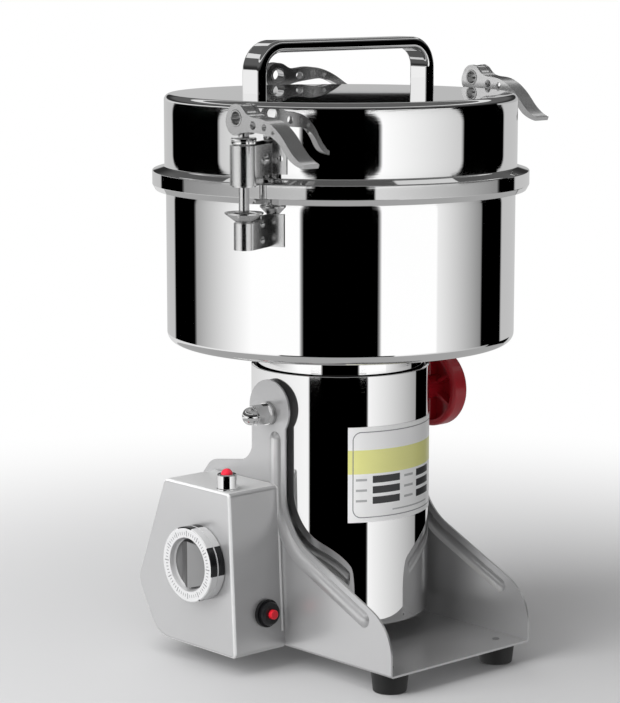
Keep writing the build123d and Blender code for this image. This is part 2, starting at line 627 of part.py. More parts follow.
def lock_knob():
    x0, x1 = LOCK_KNOB_START, LOCK_KNOB_START + LOCK_KNOB_DEPTH
    body = bar_x(LOCK_KNOB_RADIUS, x0, x1, 0, PIVOT_HEIGHT)
    body = fillet(body.edges().filter_by(GeomType.CIRCLE), LOCK_KNOB_EDGE)
    body -= bar_x(LOCK_KNOB_RADIUS - LOCK_KNOB_WALL, x0 - 1, x1 - LOCK_KNOB_WALL, 0, PIVOT_HEIGHT)
    start = FRAME_HALF_WIDTH + OUTER_WASHER
    body += bar_x(LOCK_HUB_RADIUS, start, x1 - LOCK_KNOB_WALL / 2, 0, PIVOT_HEIGHT)
    for i in range(LOCK_KNOB_RIBS):
        rib = block(x0 + LOCK_KNOB_EDGE, x1 - LOCK_KNOB_EDGE, -LOCK_KNOB_RIB / 2, LOCK_KNOB_RIB / 2,
                    LOCK_HUB_RADIUS - 2, LOCK_KNOB_RADIUS - LOCK_KNOB_EDGE)
        body += Pos(0, 0, PIVOT_HEIGHT) * Rot(360 / LOCK_KNOB_RIBS * i, 0, 0) * rib
    return body - bar_x(STUD_RADIUS + SNUG, start - 1, x0 + LOCK_STUD_REACH + SNUG, 0, PIVOT_HEIGHT)


def motor_shell():
    body = rod(SHELL_RADIUS, SHELL_BOTTOM, SHELL_TOP)
    body = fillet(body.edges().filter_by(GeomType.CIRCLE).sort_by(Axis.Z)[0], SHELL_EDGE)
    hollow = rod(SHELL_RADIUS - SHELL_WALL, SHELL_BOTTOM + SHELL_WALL, SHELL_TOP + 1)
    hollow = fillet(hollow.edges().filter_by(GeomType.CIRCLE).sort_by(Axis.Z)[0], SHELL_EDGE - SHELL_WALL)
    body -= hollow
    for side in (-1, 1):
        body -= bar_x(BOSS_RADIUS - 1, side * BOSS_INNER, side * BOSS_FACE, 0, PIVOT_HEIGHT)
        body += pivot_boss(side)
    length, width, circle = SHELL_SLOT
    for i in range(SHELL_SLOTS):
        slot = Pos(circle, 0, SHELL_BOTTOM) * Box(length, width, 3 * SHELL_WALL)
        body -= Rot(0, 0, 360 / SHELL_SLOTS * i) * slot
    return body


def neck_collar():
    low, high = COLLAR_FLANGE
    radius, width, seat = TOP_BEARING
    body = rod(SHELL_INNER, low, high) + rod(COLLAR_RADIUS, low, BOWL_BOTTOM)
    body -= rod(COLLAR_RADIUS - COLLAR_WALL, low - 1, BOWL_BOTTOM - COLLAR_PLATE)
    body += rod(radius + BEARING_WALL, seat, BOWL_BOTTOM)
    body -= rod(radius + SNUG, seat - 1, seat + width)
    body -= rod(SEAL_RADIUS + SEAT_FIT, seat, BOWL_BOTTOM + 1)
    for x, y in bowl_screw_places():
        body -= rod(BOWL_SCREW_RADIUS + SNUG, BOWL_BOTTOM - BOWL_SCREW_REACH - SNUG, BOWL_BOTTOM + 1, x, y)
    return body


def bearing(radius, width, seat):
    ring = tube(radius, SHAFT_RADIUS + SNUG, seat, seat + width)
    groove = tube(radius - 2.5, SHAFT_RADIUS + 2.5, seat + width - 1, seat + width + 1)
    return ring - groove


def shaft_bearings():
    return group(bearing(*TOP_BEARING), bearing(*LOW_BEARING))


def motor_spider():
    """Lower bearing bridge with its four arms and the seats of the brush holders."""
    low, high = SPIDER
    radius, width, seat = LOW_BEARING
    rim = SHELL_INNER - SPIDER_RING / 2
    body = tube(SHELL_INNER, SHELL_INNER - SPIDER_RING, low, high) + rod(radius + BEARING_WALL, seat, high)
    for i in range(4):
        body += Rot(0, 0, 45 + 90 * i) * block(radius, rim, -SPIDER_ARM / 2, SPIDER_ARM / 2, low, high)
    body += block(-rim, rim, -SPIDER_BRIDGE / 2, SPIDER_BRIDGE / 2, low, high)
    body -= rod(radius + SNUG, seat - 1, seat + width)
    return body - rod(SHAFT_RADIUS + 2, seat, high + 1)


def stator_core():
    low, high = STATOR
    ring = tube(SHELL_INNER, STATOR_INNER, low, high)
    pole = tube(STATOR_INNER + 1, POLE_RADIUS, low, high)
    return ring + sector(pole, POLE_ANGLE / 2, 90) + sector(pole, POLE_ANGLE / 2, -90)


def sector(shape, half, middle):
    """Keep the part of a round shape within an angle on each side of a direction."""
    reach = 3 * SHELL_RADIUS
    wedge = make_face(Polyline((0, 0), (reach * cos(radians(half)), reach * sin(radians(half))),
                               (reach * 2, 0), (reach * cos(radians(half)), -reach * sin(radians(half))),
                               close=True))
    return shape & Rot(0, 0, middle) * extrude(wedge, amount=BOWL_TOP)


def field_coils():
    low, high = STATOR
    coils = []
    for middle in (90, -90):
        turns = tube(STATOR_INNER - 0.5, POLE_RADIUS + 5, low - COIL_RISE, high + COIL_RISE)
        core = tube(STATOR_INNER + 5, POLE_RADIUS, low - 0.4, high + 0.4)
        outer = sector(turns, POLE_ANGLE / 2 + COIL_SPREAD, middle)
        window = sector(core, POLE_ANGLE / 2 + 0.6, middle)
        coils.append(outer - window)
    return group(*coils)


def motor_shaft():
    body = rod(SHAFT_RADIUS, SHAFT_BOTTOM, SPINDLE_SHOULDER)
    return body + rod(SPINDLE_RADIUS, SPINDLE_SHOULDER, blade_levels()[3] + SPINDLE_END)


def rotor_core():
    low, high = STATOR
    depth, width = ROTOR_SLOT
    body = tube(ROTOR_RADIUS, SHAFT_RADIUS + SNUG, low, high)
    for i in range(ROTOR_SLOTS):
        slot = block(ROTOR_RADIUS - depth, ROTOR_RADIUS + 1, -width / 2, width / 2, low - 1, high + 1)
        body -= Rot(0, 0, 360 / ROTOR_SLOTS * i) * slot
    return body


def rotor_windings():
    low, high = STATOR
    bore = SHAFT_RADIUS + SNUG
    return group(tube(WINDING_RADIUS, bore, low - WINDING_LENGTH, low),
                 tube(WINDING_RADIUS, bore, high, high + WINDING_LENGTH))


def commutator():
    low, high, radius = COMMUTATOR
    body = tube(radius, SHAFT_RADIUS + SNUG, low, high)
    for i in range(COMMUTATOR_BARS):
        slot = block(radius - 1.5, radius + 1, -0.4, 0.4, low - 1, high - 3)
        body -= Rot(0, 0, 360 / COMMUTATOR_BARS * i) * slot
    return body


def brush_height():
    return (COMMUTATOR[0] + COMMUTATOR[1]) / 2 - 1


def carbon_brushes():
    width, height, length = BRUSH
    start, z = COMMUTATOR[2] + BRUSH_GAP, brush_height()
    brushes = []
    for side in (-1, 1):
        x0, x1 = sorted((side * start, side * (start + length)))
        brushes.append(block(x0, x1, -width / 2, width / 2, z - height / 2, z + height / 2))
    return group(*brushes)


def brush_holders():
    width, height, length = BRUSH
    start, z = COMMUTATOR[2] + BRUSH_HOLDER_BACK, brush_height()
    across, up = width / 2 + BRUSH_HOLDER_WALL, height / 2 + BRUSH_HOLDER_WALL
    holders = []
    for side in (-1, 1):
        x0, x1 = sorted((side * start, side * (start + length)))
        cut = block(x0 - 1, x1 + 1, -width / 2 - SEAT_FIT, width / 2 + SEAT_FIT,
                    z - height / 2 - SEAT_FIT, z + height / 2 + SEAT_FIT)
        holders.append(block(x0, x1, -across, across, SPIDER[1], z + up) - cut)
    return group(*holders)


def cooling_fan():
    low, high, radius = FAN
    body = rod(radius, low, low + FAN_DISC) + rod(FAN_HUB_RADIUS, low, high)
    middle, length = (radius + FAN_HUB_RADIUS) / 2, radius - FAN_HUB_RADIUS
    for i in range(FAN_BLADES):
        blade = Rot(0, 0, FAN_BLADE_LEAN) * Box(length, FAN_BLADE, high - low)
        blade = Pos(middle, 0, (low + high) / 2) * blade
        body += Rot(0, 0, 360 / FAN_BLADES * i) * blade & rod(radius, low, high)
    return body - rod(SHAFT_RADIUS + SNUG, low - 1, high + 1)


def bowl_screw_places():
    return [(BOWL_SCREW_CIRCLE * cos(radians(a)), BOWL_SCREW_CIRCLE * sin(radians(a)))
            for a in (45, 135, 225, 315)]


def grinding_bowl():
    body = rod(BOWL_RADIUS, BOWL_BOTTOM, BOWL_TOP)
    body = fillet(body.edges().filter_by(GeomType.CIRCLE).sort_by(Axis.Z)[0], BOWL_EDGE)
    hollow = rod(BOWL_RADIUS - BOWL_WALL, BOWL_BOTTOM + BOWL_WALL, BOWL_TOP + 1)
    hollow = fillet(hollow.edges().filter_by(GeomType.CIRCLE).sort_by(Axis.Z)[0], BOWL_EDGE - BOWL_WALL)
    body -= hollow
    under, over = BOWL_BOTTOM - 1, BOWL_BOTTOM + BOWL_WALL + 1
    body -= rod(SEAL_RADIUS + SEAT_FIT, under, over)
    for x, y in bowl_screw_places():
        body -= rod(BOWL_SCREW_RADIUS + SCREW_FIT, under, over, x, y)
    return body


def bowl_screws():
    top = BOWL_BOTTOM + BOWL_WALL
    screws = []
    for x, y in bowl_screw_places():
        head = rod(BOWL_SCREW_HEAD_RADIUS, top, top + BOWL_SCREW_HEAD, x, y)
        screws.append(head + rod(BOWL_SCREW_RADIUS, BOWL_BOTTOM - BOWL_SCREW_REACH, top + 1, x, y))
    return group(*screws)


def shaft_seal():
    z0 = TOP_BEARING[2] + TOP_BEARING[1]
    return tube(SEAL_RADIUS, SHAFT_RADIUS + SEAL_GAP, z0 + SEAT_FIT, BOWL_BOTTOM + BOWL_WALL + SEAL_RISE)


def blade_levels():
    """Undersides of the lower blade, spacer, upper blade and nut."""
    low = SPINDLE_SHOULDER + BLADE_COLLAR
    spacer = low + BLADE_THICKNESS
    high = spacer + BLADE_SPACER[1]
    nut = high + BLADE_THICKNESS
    return low, spacer, high, nut + BLADE_NUT[1]


def blade_bar(span, z):
    """Two-armed cutter with sharpened, clipped ends."""
    half, wide = span / 2, BLADE_WIDTH / 2
    outline = [(-half, -wide), (-half + BLADE_CLIP, wide), (half, wide), (half - BLADE_CLIP, -wide)]
    blade = Pos(0, 0, z) * extrude(make_face(Polyline(*outline, close=True)), amount=BLADE_THICKNESS)
    return blade - rod(SPINDLE_RADIUS + SNUG, z - 1, z + BLADE_THICKNESS + 1)


def lower_blade():
    return blade_bar(LOW_BLADE_SPAN, blade_levels()[0])


def blade_spacers():
    z, bore = blade_levels()[1], SPINDLE_RADIUS + SNUG
    return group(tube(BLADE_SPACER[0], bore, SPINDLE_SHOULDER, blade_levels()[0]),
                 tube(BLADE_SPACER[0], bore, z, z + BLADE_SPACER[1]))


def upper_blade():
    return Rot(0, 0, BLADE_TURN) * blade_bar(HIGH_BLADE_SPAN, blade_levels()[2])


def blade_nut():
    z = blade_levels()[2] + BLADE_THICKNESS
    nut = Pos(0, 0, z) * extrude(RegularPolygon(BLADE_NUT[0], 6), amount=BLADE_NUT[1])
    nut = chamfer(nut.edges().sort_by(Axis.Z)[-6:], BLADE_NUT_CHAMFER)
    return nut - rod(SPINDLE_RADIUS + SNUG, z - 1, z + BLADE_NUT[1] + 1)


def grinder_lid():
    r, t = LID_RADIUS, LID_WALL
    low, high = RING_BAND
    rim_drop, wall_drop = RING_INNER_DROP
    outer = [(0, LID_TOP), (r, LID_TOP), (r, RING_RISE), (RING_RADIUS, high), (RING_RADIUS, low),
             (RING_RADIUS - RING_TAPER, RING_BOTTOM), (RING_LIP, RING_BOTTOM), (RING_LIP, RING_BOTTOM + t),
             (RING_RADIUS - RING_TAPER - 0.4, RING_BOTTOM + t), (RING_RADIUS - t, low + 0.6),
             (RING_RADIUS - t, high - rim_drop), (r - t, RING_RISE - wall_drop), (r - t, LID_TOP - t),
             (0, LID_TOP - t)]
    body = spun(outer)
    rims = body.edges().filter_by(GeomType.CIRCLE).filter_by(lambda e: e.center().Z > LID_TOP - t - 0.1)
    top = rims.filter_by(lambda e: e.center().Z > LID_TOP - 0.1).sort_by(lambda e: e.radius)[-1]
    body = fillet(top, LID_EDGE)
    inner = body.edges().filter_by(GeomType.CIRCLE).filter_by(
        lambda e: abs(e.center().Z - (LID_TOP - t)) < 0.1 and e.radius > r - 2 * t)
    body = fillet(inner, LID_EDGE - t)
    for x in (-1, 1):
        body -= rod(HANDLE_SCREW_RADIUS + SCREW_FIT, LID_TOP - t - 1, LID_TOP + 1, x * handle_leg_x(), 0)
    for x, y, turn in tab_rivet_places():
        hole = Pos(x, y, strap_middle()) * Rot(0, 0, turn) * bar_x(RIVET_RADIUS + SNUG, -3, 3)
        body -= hole
    return body


def lid_gasket():
    inner = LID_RADIUS - GASKET_INSET
    outer, top = inner + GASKET_WIDTH, RING_RISE - RING_INNER_DROP[1] - LID_WALL * 0.4
    points = [(inner, BOWL_TOP), (outer, BOWL_TOP), (outer, BOWL_TOP + GASKET_RISE),
              (LID_RADIUS - LID_WALL - SEAT_FIT, top), (inner, top)]
    return spun(points)


def handle_leg_x():
    return HANDLE_HALF - HANDLE_BAR / 2


def lid_handle():
    x, z = handle_leg_x(), LID_TOP + HANDLE_HEIGHT - HANDLE_BAR / 2
    points = [(-x, 0, LID_TOP), (-x, 0, z), (x, 0, z), (x, 0, LID_TOP)]
    path = FilletPolyline(*points, radius=HANDLE_BEND)
    section = Plane(origin=points[0], x_dir=(1, 0, 0), z_dir=(0, 0, 1)) * RectangleRounded(
        HANDLE_BAR, HANDLE_WIDTH, HANDLE_ROUND)
    body = sweep(section, path=path)
    for s in (-1, 1):
        body -= rod(HANDLE_SCREW_RADIUS + SNUG, LID_TOP - 1, LID_TOP + HANDLE_SCREW_REACH, s * x, 0)
    return body


def handle_screws():
    under = LID_TOP - LID_WALL
    screws = []
    for s in (-1, 1):
        x = s * handle_leg_x()
        head = rod(HANDLE_SCREW_HEAD_RADIUS, under - HANDLE_SCREW_HEAD, under, x, 0)
        screws.append(head + rod(HANDLE_SCREW_RADIUS, under - 1, LID_TOP + HANDLE_SCREW_REACH - 1, x, 0))
    return group(*screws)


def strap_middle():
    return (STRAP_FOOT + SLEEVE[1]) / 2


def on_latch(shape, angle):
    """Set a piece drawn about a latch axis, outward along +X, on its place round the pot."""
    return Rot(0, 0, angle) * Pos(LATCH_CIRCLE, 0, 0) * shape


def on_heading(shape, angle, heading, lift=0.0):
    """Set a piece drawn about a latch axis, lever along +X, on its place and heading."""
    x, y = LATCH_CIRCLE * cos(radians(angle)), LATCH_CIRCLE * sin(radians(angle))
    return Pos(x, y, lift) * Rot(0, 0, heading) * shape


def wrap_strap(radius, thick, z0, z1, wall, tab):
    """Strap round the outer side of a barrel, both sides running in to tabs on a round wall."""
    inward = LATCH_CIRCLE - wall
    reach = 2 * (radius + thick + tab)
    bend = tube(radius + thick, radius, z0, z1) & block(-0.01, reach, -reach, reach, z0, z1)
    round_wall = rod(wall, z0 - 1, z1 + 1, -LATCH_CIRCLE, 0)
    sides = block(-inward - 2 * thick, 0, radius, radius + thick, z0, z1)
    sides += block(-inward - 2 * thick, 0, -radius - thick, -radius, z0, z1)
    shell = tube(wall + thick, wall, z0, z1, -LATCH_CIRCLE, 0)
    tabs = shell & block(-inward - reach, reach, radius, radius + thick + tab, z0, z1)
    tabs += shell & block(-inward - reach, reach, -radius - thick - tab, -radius, z0, z1)
    return bend + (sides - round_wall) + tabs


def latch_brackets():
    """Barrel for each rod, welded into its strap on the lid's wall."""
    low, high = SLEEVE[0] + STRAP_HEM[0], SLEEVE[1] - STRAP_HEM[1]
    strap = wrap_strap(SLEEVE_RADIUS, STRAP, low, high, LID_RADIUS, STRAP_TAB)
    reach = LATCH_CIRCLE - LID_RADIUS + 2 * STRAP_TAB
    strap -= block(-2 * reach, -SLEEVE_RADIUS - 2, -reach, reach, SLEEVE[0] - 1, STRAP_FOOT)
    strap -= Pos(-bolt_inset(), 0, strap_middle()) * Rot(90, 0, 0) * Cylinder(RIVET_RADIUS + SNUG, 2 * reach)
    for side in (-1, 1):
        x, y, turn = tab_rivet_local(side)
        hole = bar_x(RIVET_RADIUS + SNUG, -2 * STRAP, 2 * STRAP)
        strap -= Pos(x, y, strap_middle()) * Rot(0, 0, turn) * hole
    strap += tube(SLEEVE_RADIUS, ROD_RADIUS + RUN_FIT, *SLEEVE)
    return group(*[on_latch(strap, latch[1]) for latch in LATCHES])


def bolt_inset():
    return (LATCH_CIRCLE - LID_RADIUS) * 0.58


def strap_bolts():
    wide = SLEEVE_RADIUS + STRAP
    bolt = Rot(90, 0, 0) * Cylinder(RIVET_RADIUS, 2 * wide + 1)
    for side in (-1, 1):
        head = Sphere(STRAP_HEAD) & rod(STRAP_HEAD, STRAP_HEAD_FLAT, STRAP_HEAD)
        bolt += Rot(-90 * side, 0, 0) * Pos(0, 0, wide - STRAP_HEAD_FLAT) * head
    bolt = Pos(-bolt_inset(), 0, strap_middle()) * bolt
    return [on_latch(bolt, latch[1]) for latch in LATCHES]


def tab_rivet_local(side):
    """Place and direction of a tab rivet about a latch axis."""
    y = side * (SLEEVE_RADIUS + STRAP + STRAP_TAB * 0.55)
    turn = degrees(atan2(y, LID_RADIUS))
    return LID_RADIUS * cos(radians(turn)) - LATCH_CIRCLE, LID_RADIUS * sin(radians(turn)), turn


def tab_rivet_places():
    places = []
    for latch in LATCHES:
        for side in (-1, 1):
            turn = tab_rivet_local(side)[2] + latch[1]
            places.append((LID_RADIUS * cos(radians(turn)), LID_RADIUS * sin(radians(turn)), turn))
    return places


def tab_rivets():
    rivets = []
    tail_radius, tail_length = TAB_TAIL
    inside = -LID_WALL - tail_length
    wall = tube(LID_RADIUS + STRAP, LID_RADIUS - LID_WALL, RING_BOTTOM, LID_TOP)
    for x, y, turn in tab_rivet_places():
        head = Pos(STRAP - TAB_HEAD_SINK, 0, 0) * Sphere(TAB_HEAD)
        head &= bar_x(TAB_HEAD, STRAP, STRAP + TAB_HEAD)
        shank = bar_x(RIVET_RADIUS, inside, STRAP + 0.5)
        tail = bar_x(tail_radius, inside, -LID_WALL + 0.1)
        seat = Pos(x, y, strap_middle()) * Rot(0, 0, turn)
        rivets.append(seat * head + seat * shank + (seat * tail - wall))
    return rivets


def bracket_fasteners():
    return group(*strap_bolts(), *tab_rivets())


def keyed(radius, flat, z0, z1):
    """Round bar with two flats facing the lever's heading."""
    return rod(radius, z0, z1) & block(-flat, flat, -radius, radius, z0, z1)


def latch_cap(index):
    _, angle, heading, _, _ = LATCHES[index]
    z = SLEEVE[1] + SEAT_FIT
    cap = rod(CAP_RADIUS, z, z + CAP)
    cap = fillet(cap.edges().filter_by(GeomType.CIRCLE), 0.6)
    cap -= keyed(ROD_RADIUS + CAP_FIT, ROD_FLAT + CAP_FIT, z - 1, z + CAP + 1)
    return on_heading(cap, angle, heading)


def latch_rod(index):
    _, angle, heading, lift, _ = LATCHES[index]
    width = LEVER_WIDTH - 2 * LEVER_CHEEK - 2 * RUN_FIT
    eye = Pos(0, 0, PIN_HEIGHT) * Rot(90, 0, 0) * Cylinder(ROD_EYE_RADIUS, width)
    stem = keyed(ROD_RADIUS, ROD_FLAT, ROD_FOOT, PIN_HEIGHT - 4)
    tee = block(-ROD_TEE_WIDTH / 2, ROD_TEE_WIDTH / 2, -ROD_TEE, ROD_TEE, ROD_FOOT, ROD_FOOT + ROD_TEE_HEIGHT)
    tee &= rod(ROD_TEE, ROD_FOOT, ROD_FOOT + ROD_TEE_HEIGHT)
    body = eye + stem + tee
    body -= Pos(0, 0, PIN_HEIGHT) * Rot(90, 0, 0) * Cylinder(PIN_RADIUS + SEAT_FIT, 2 * LEVER_WIDTH)
    return on_heading(body, angle, heading, lift)


def latch_pin(index):
    _, angle, heading, lift, _ = LATCHES[index]
    pin = Cylinder(PIN_RADIUS, PIN_LENGTH) - Cylinder(PIN_BORE_RADIUS, PIN_LENGTH + 2)
    return on_heading(Pos(0, 0, PIN_HEIGHT) * Rot(90, 0, 0) * pin, angle, heading, lift)


def lever_outline():
    tail = Line(LEVER_TOP[-1], LEVER_UNDER[0])
    start = Line(LEVER_UNDER[-1], LEVER_TOP[0])
    arm = make_face([Spline(*LEVER_TOP), tail, Spline(*LEVER_UNDER), start])
    x, z, radius = LEVER_LOBE
    return arm + Circle(LEVER_HEAD_RADIUS) + Pos(x, z) * Circle(radius)


def latch_lever(index):
    """Forked cam lever: two cheeks with eyes, joined by the broad curved top."""
    _, angle, heading, lift, raised = LATCHES[index]
    outline = lever_outline()
    half = LEVER_WIDTH / 2
    body = Rot(90, 0, 0) * extrude(outline, amount=half, both=True)
    gap, reach = half - LEVER_CHEEK, 2 * LEVER_WIDTH
    under = Rot(90, 0, 0) * Pos(0, -LEVER_CHEEK) * extrude(outline, amount=gap, both=True)
    body -= under & block(LEVER_FORK - 0.1, LEVER_FORK_END, -gap, gap, -reach, reach)
    body -= block(-reach, LEVER_FORK, -gap, gap, -reach, reach)
    for x, z, radius in LEVER_HOLES:
        body -= Pos(x, 0, z) * Rot(90, 0, 0) * Cylinder(radius, reach)
    body -= Rot(90, 0, 0) * Cylinder(PIN_RADIUS + SNUG, reach)
    return on_heading(Pos(0, 0, PIN_HEIGHT) * Rot(0, -raised, 0) * body, angle, heading, lift)


def bowl_catches():
    """Funnel, keyed throat and chamber for each rod's foot, on a strap round to the bowl."""
    r = ROD_RADIUS + RUN_FIT + CAP_FIT
    low, high = CATCH_THROAT
    mouth = CATCH_FUNNEL_RADIUS - CATCH_FUNNEL_WALL
    shape = spun([(r, low), (r, high), (mouth, CATCH_TOP), (CATCH_FUNNEL_RADIUS, CATCH_TOP),
                  (CATCH_FUNNEL_RADIUS, CATCH_TOP - 0.9), (CATCH_RADIUS, high - 0.4),
                  (CATCH_RADIUS, CATCH_BOTTOM), (CATCH_CHAMBER_RADIUS, CATCH_BOTTOM),
                  (CATCH_CHAMBER_RADIUS, low)])
    key = block(-ROD_TEE_WIDTH / 2 - RUN_FIT, ROD_TEE_WIDTH / 2 + RUN_FIT, -CATCH_CHAMBER_RADIUS,
                CATCH_CHAMBER_RADIUS, low - 1, high + 2)
    strap = wrap_strap(CATCH_RADIUS, STRAP, *CATCH_STRAP, BOWL_RADIUS, STRAP_TAB)
    strap -= rod(CATCH_FUNNEL_RADIUS + 1, high - 1, CATCH_TOP)
    for z in catch_rivet_levels():
        hole = Cylinder(CATCH_RIVET_RADIUS + SNUG, 4 * CATCH_FUNNEL_RADIUS)
        strap -= Pos(-catch_rivet_inset(), 0, z) * Rot(90, 0, 0) * hole
    catches = []
    for _, angle, heading, _, _ in LATCHES:
        turned_key = Rot(0, 0, heading - angle) * key
        catches.append(on_latch((shape - turned_key) + strap, angle))
    return group(*catches)


def catch_rivet_levels():
    return CATCH_STRAP[0] + CATCH_RIVET_HEM, CATCH_STRAP[1] - CATCH_RIVET_HEM


def catch_rivet_inset():
    return CATCH_RADIUS + CATCH_RIVET_INSET


def catch_rivets():
    wide = CATCH_RADIUS + STRAP
    ball, sink = CATCH_RIVET_HEAD
    rivets = []
    for latch in LATCHES:
        for z in catch_rivet_levels():
            rivet = Rot(90, 0, 0) * Cylinder(CATCH_RIVET_RADIUS, 2 * wide + 1)
            for side in (-1, 1):
                head = (Pos(0, 0, -sink) * Sphere(ball)) & rod(ball, 0, ball)
                rivet += Rot(-90 * side, 0, 0) * Pos(0, 0, wide) * head
            rivets.append(on_latch(Pos(-catch_rivet_inset(), 0, z) * rivet, latch[1]))
    return group(*rivets)


def rating_label():
    sheet = tube(SHELL_RADIUS + SNUG + LABEL_THICKNESS, SHELL_RADIUS + SNUG, *LABEL_Z)
    return sector(sheet, LABEL_SWEEP / 2, LABEL_START + LABEL_SWEEP / 2)


NODES = {
    "base_frame": base_frame, "rubber_feet": rubber_feet, "foot_screws": foot_screws,
    "control_box": control_box, "control_box_screws": control_box_screws, "timer_body": timer_body,
    "panel_nuts": panel_nuts, "timer_shaft": timer_shaft, "timer_knob": timer_knob,
    "lamp_bezel": lamp_bezel, "lamp_lens": lamp_lens, "breaker_body": breaker_body,
    "breaker_button": breaker_button, "cable_gland": cable_gland, "pivot_washers": pivot_washers,
    "pivot_bolt": pivot_bolt, "lock_stud": lock_stud, "lock_knob": lock_knob,
    "motor_shell": motor_shell, "neck_collar": neck_collar, "shaft_bearings": shaft_bearings,
    "motor_spider": motor_spider, "stator_core": stator_core, "field_coils": field_coils,
    "motor_shaft": motor_shaft, "rotor_core": rotor_core, "rotor_windings": rotor_windings,
    "commutator": commutator, "carbon_brushes": carbon_brushes, "brush_holders": brush_holders,
    "cooling_fan": cooling_fan, "grinding_bowl": grinding_bowl, "bowl_screws": bowl_screws,
    "shaft_seal": shaft_seal, "lower_blade": lower_blade, "blade_spacers": blade_spacers,
    "upper_blade": upper_blade, "blade_nut": blade_nut, "grinder_lid": grinder_lid,
    "lid_gasket": lid_gasket, "lid_handle": lid_handle, "handle_screws": handle_screws,
    "latch_brackets": latch_brackets, "bracket_fasteners": bracket_fasteners,
    "bowl_catches": bowl_catches, "catch_rivets": catch_rivets, "rating_label": rating_label,
}
for place, latch in enumerate(LATCHES):
    NODES["latch_cap_" + latch[0]] = lambda place=place: latch_cap(place)
    NODES["latch_rod_" + latch[0]] = lambda place=place: latch_rod(place)
    NODES["latch_pin_" + latch[0]] = lambda place=place: latch_pin(place)
    NODES["latch_lever_" + latch[0]] = lambda place=place: latch_lever(place)

shapes = {name: make() for name, make in NODES.items()}
boxes = [shape.bounding_box() for shape in shapes.values()]
SHIFT = (-(min(b.min.X for b in boxes) + max(b.max.X for b in boxes)) / 2,
         -(min(b.min.Y for b in boxes) + max(b.max.Y for b in boxes)) / 2, 0.0)
for name, shape in shapes.items():
    export_step(Pos(*SHIFT) * shape, "parts/" + name + ".step")
print("shift", SHIFT, "nodes", len(shapes))
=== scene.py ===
"""Commercial spice grinder: the looks of every piece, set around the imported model, with its stage.

Lengths are metres in the model's own frame.  The pot's upright axis and the places of its pieces
are read from the frame; the sizes and colours below are those that only the looks need.
"""

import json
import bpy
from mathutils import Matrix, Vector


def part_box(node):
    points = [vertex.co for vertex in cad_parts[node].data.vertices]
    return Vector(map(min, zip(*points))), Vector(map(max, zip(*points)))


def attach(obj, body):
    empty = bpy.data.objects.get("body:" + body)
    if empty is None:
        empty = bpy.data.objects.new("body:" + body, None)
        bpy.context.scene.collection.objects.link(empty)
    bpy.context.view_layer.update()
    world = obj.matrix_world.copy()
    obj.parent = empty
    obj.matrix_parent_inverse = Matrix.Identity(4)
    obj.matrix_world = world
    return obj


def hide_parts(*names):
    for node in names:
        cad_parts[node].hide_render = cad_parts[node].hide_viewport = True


bl_info = {
    "name": "Spice Grinder Looks",
    "version": (1, 1, 0),
    "blender": (4, 5, 0),
    "location": "3D View > Sidebar > Spice Grinder",
    "description": "Builds the visible pieces, finishes and stage of a tilting spice grinder",
    "category": "Object",
}

from functools import reduce
from math import cos, pi, radians, sin

import bpy
from mathutils import Matrix, Vector

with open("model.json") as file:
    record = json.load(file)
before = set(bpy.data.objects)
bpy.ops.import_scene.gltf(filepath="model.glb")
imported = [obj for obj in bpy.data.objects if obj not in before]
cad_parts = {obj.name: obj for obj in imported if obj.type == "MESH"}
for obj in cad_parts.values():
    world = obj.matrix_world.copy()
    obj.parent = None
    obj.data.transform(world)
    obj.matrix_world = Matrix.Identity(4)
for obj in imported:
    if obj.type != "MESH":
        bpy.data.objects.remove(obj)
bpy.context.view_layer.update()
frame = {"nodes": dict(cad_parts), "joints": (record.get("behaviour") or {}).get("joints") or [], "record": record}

MM = 0.001
NODES = frame["nodes"]


def centre_of(node):
    low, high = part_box(node)
    return (low + high) / 2


def radius_of(node):
    low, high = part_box(node)
    return (high.x - low.x) / 2


POT_AXIS = centre_of("grinding_bowl").xy
LATCHES = ("front", "side", "rear")
FINISHES = {}


# Sizes and colours that a user would change

def length(name, description, millimetres):
    return bpy.props.FloatProperty(name=name, description=description, default=millimetres * MM, min=0.0,
                                   precision=5, subtype="DISTANCE", unit="LENGTH")


def colour(name, description, shade):
    return bpy.props.FloatVectorProperty(name=name, description=description, default=shade, min=0.0, max=1.0,
                                         subtype="COLOR")


def share(name, description, default):
    return bpy.props.FloatProperty(name=name, description=description, default=default, min=0.0, max=1.0,
                                   subtype="FACTOR")


def turn(name, description, angle):
    return bpy.props.FloatProperty(name=name, description=description, default=radians(angle),
                                   subtype="ANGLE", unit="ROTATION")


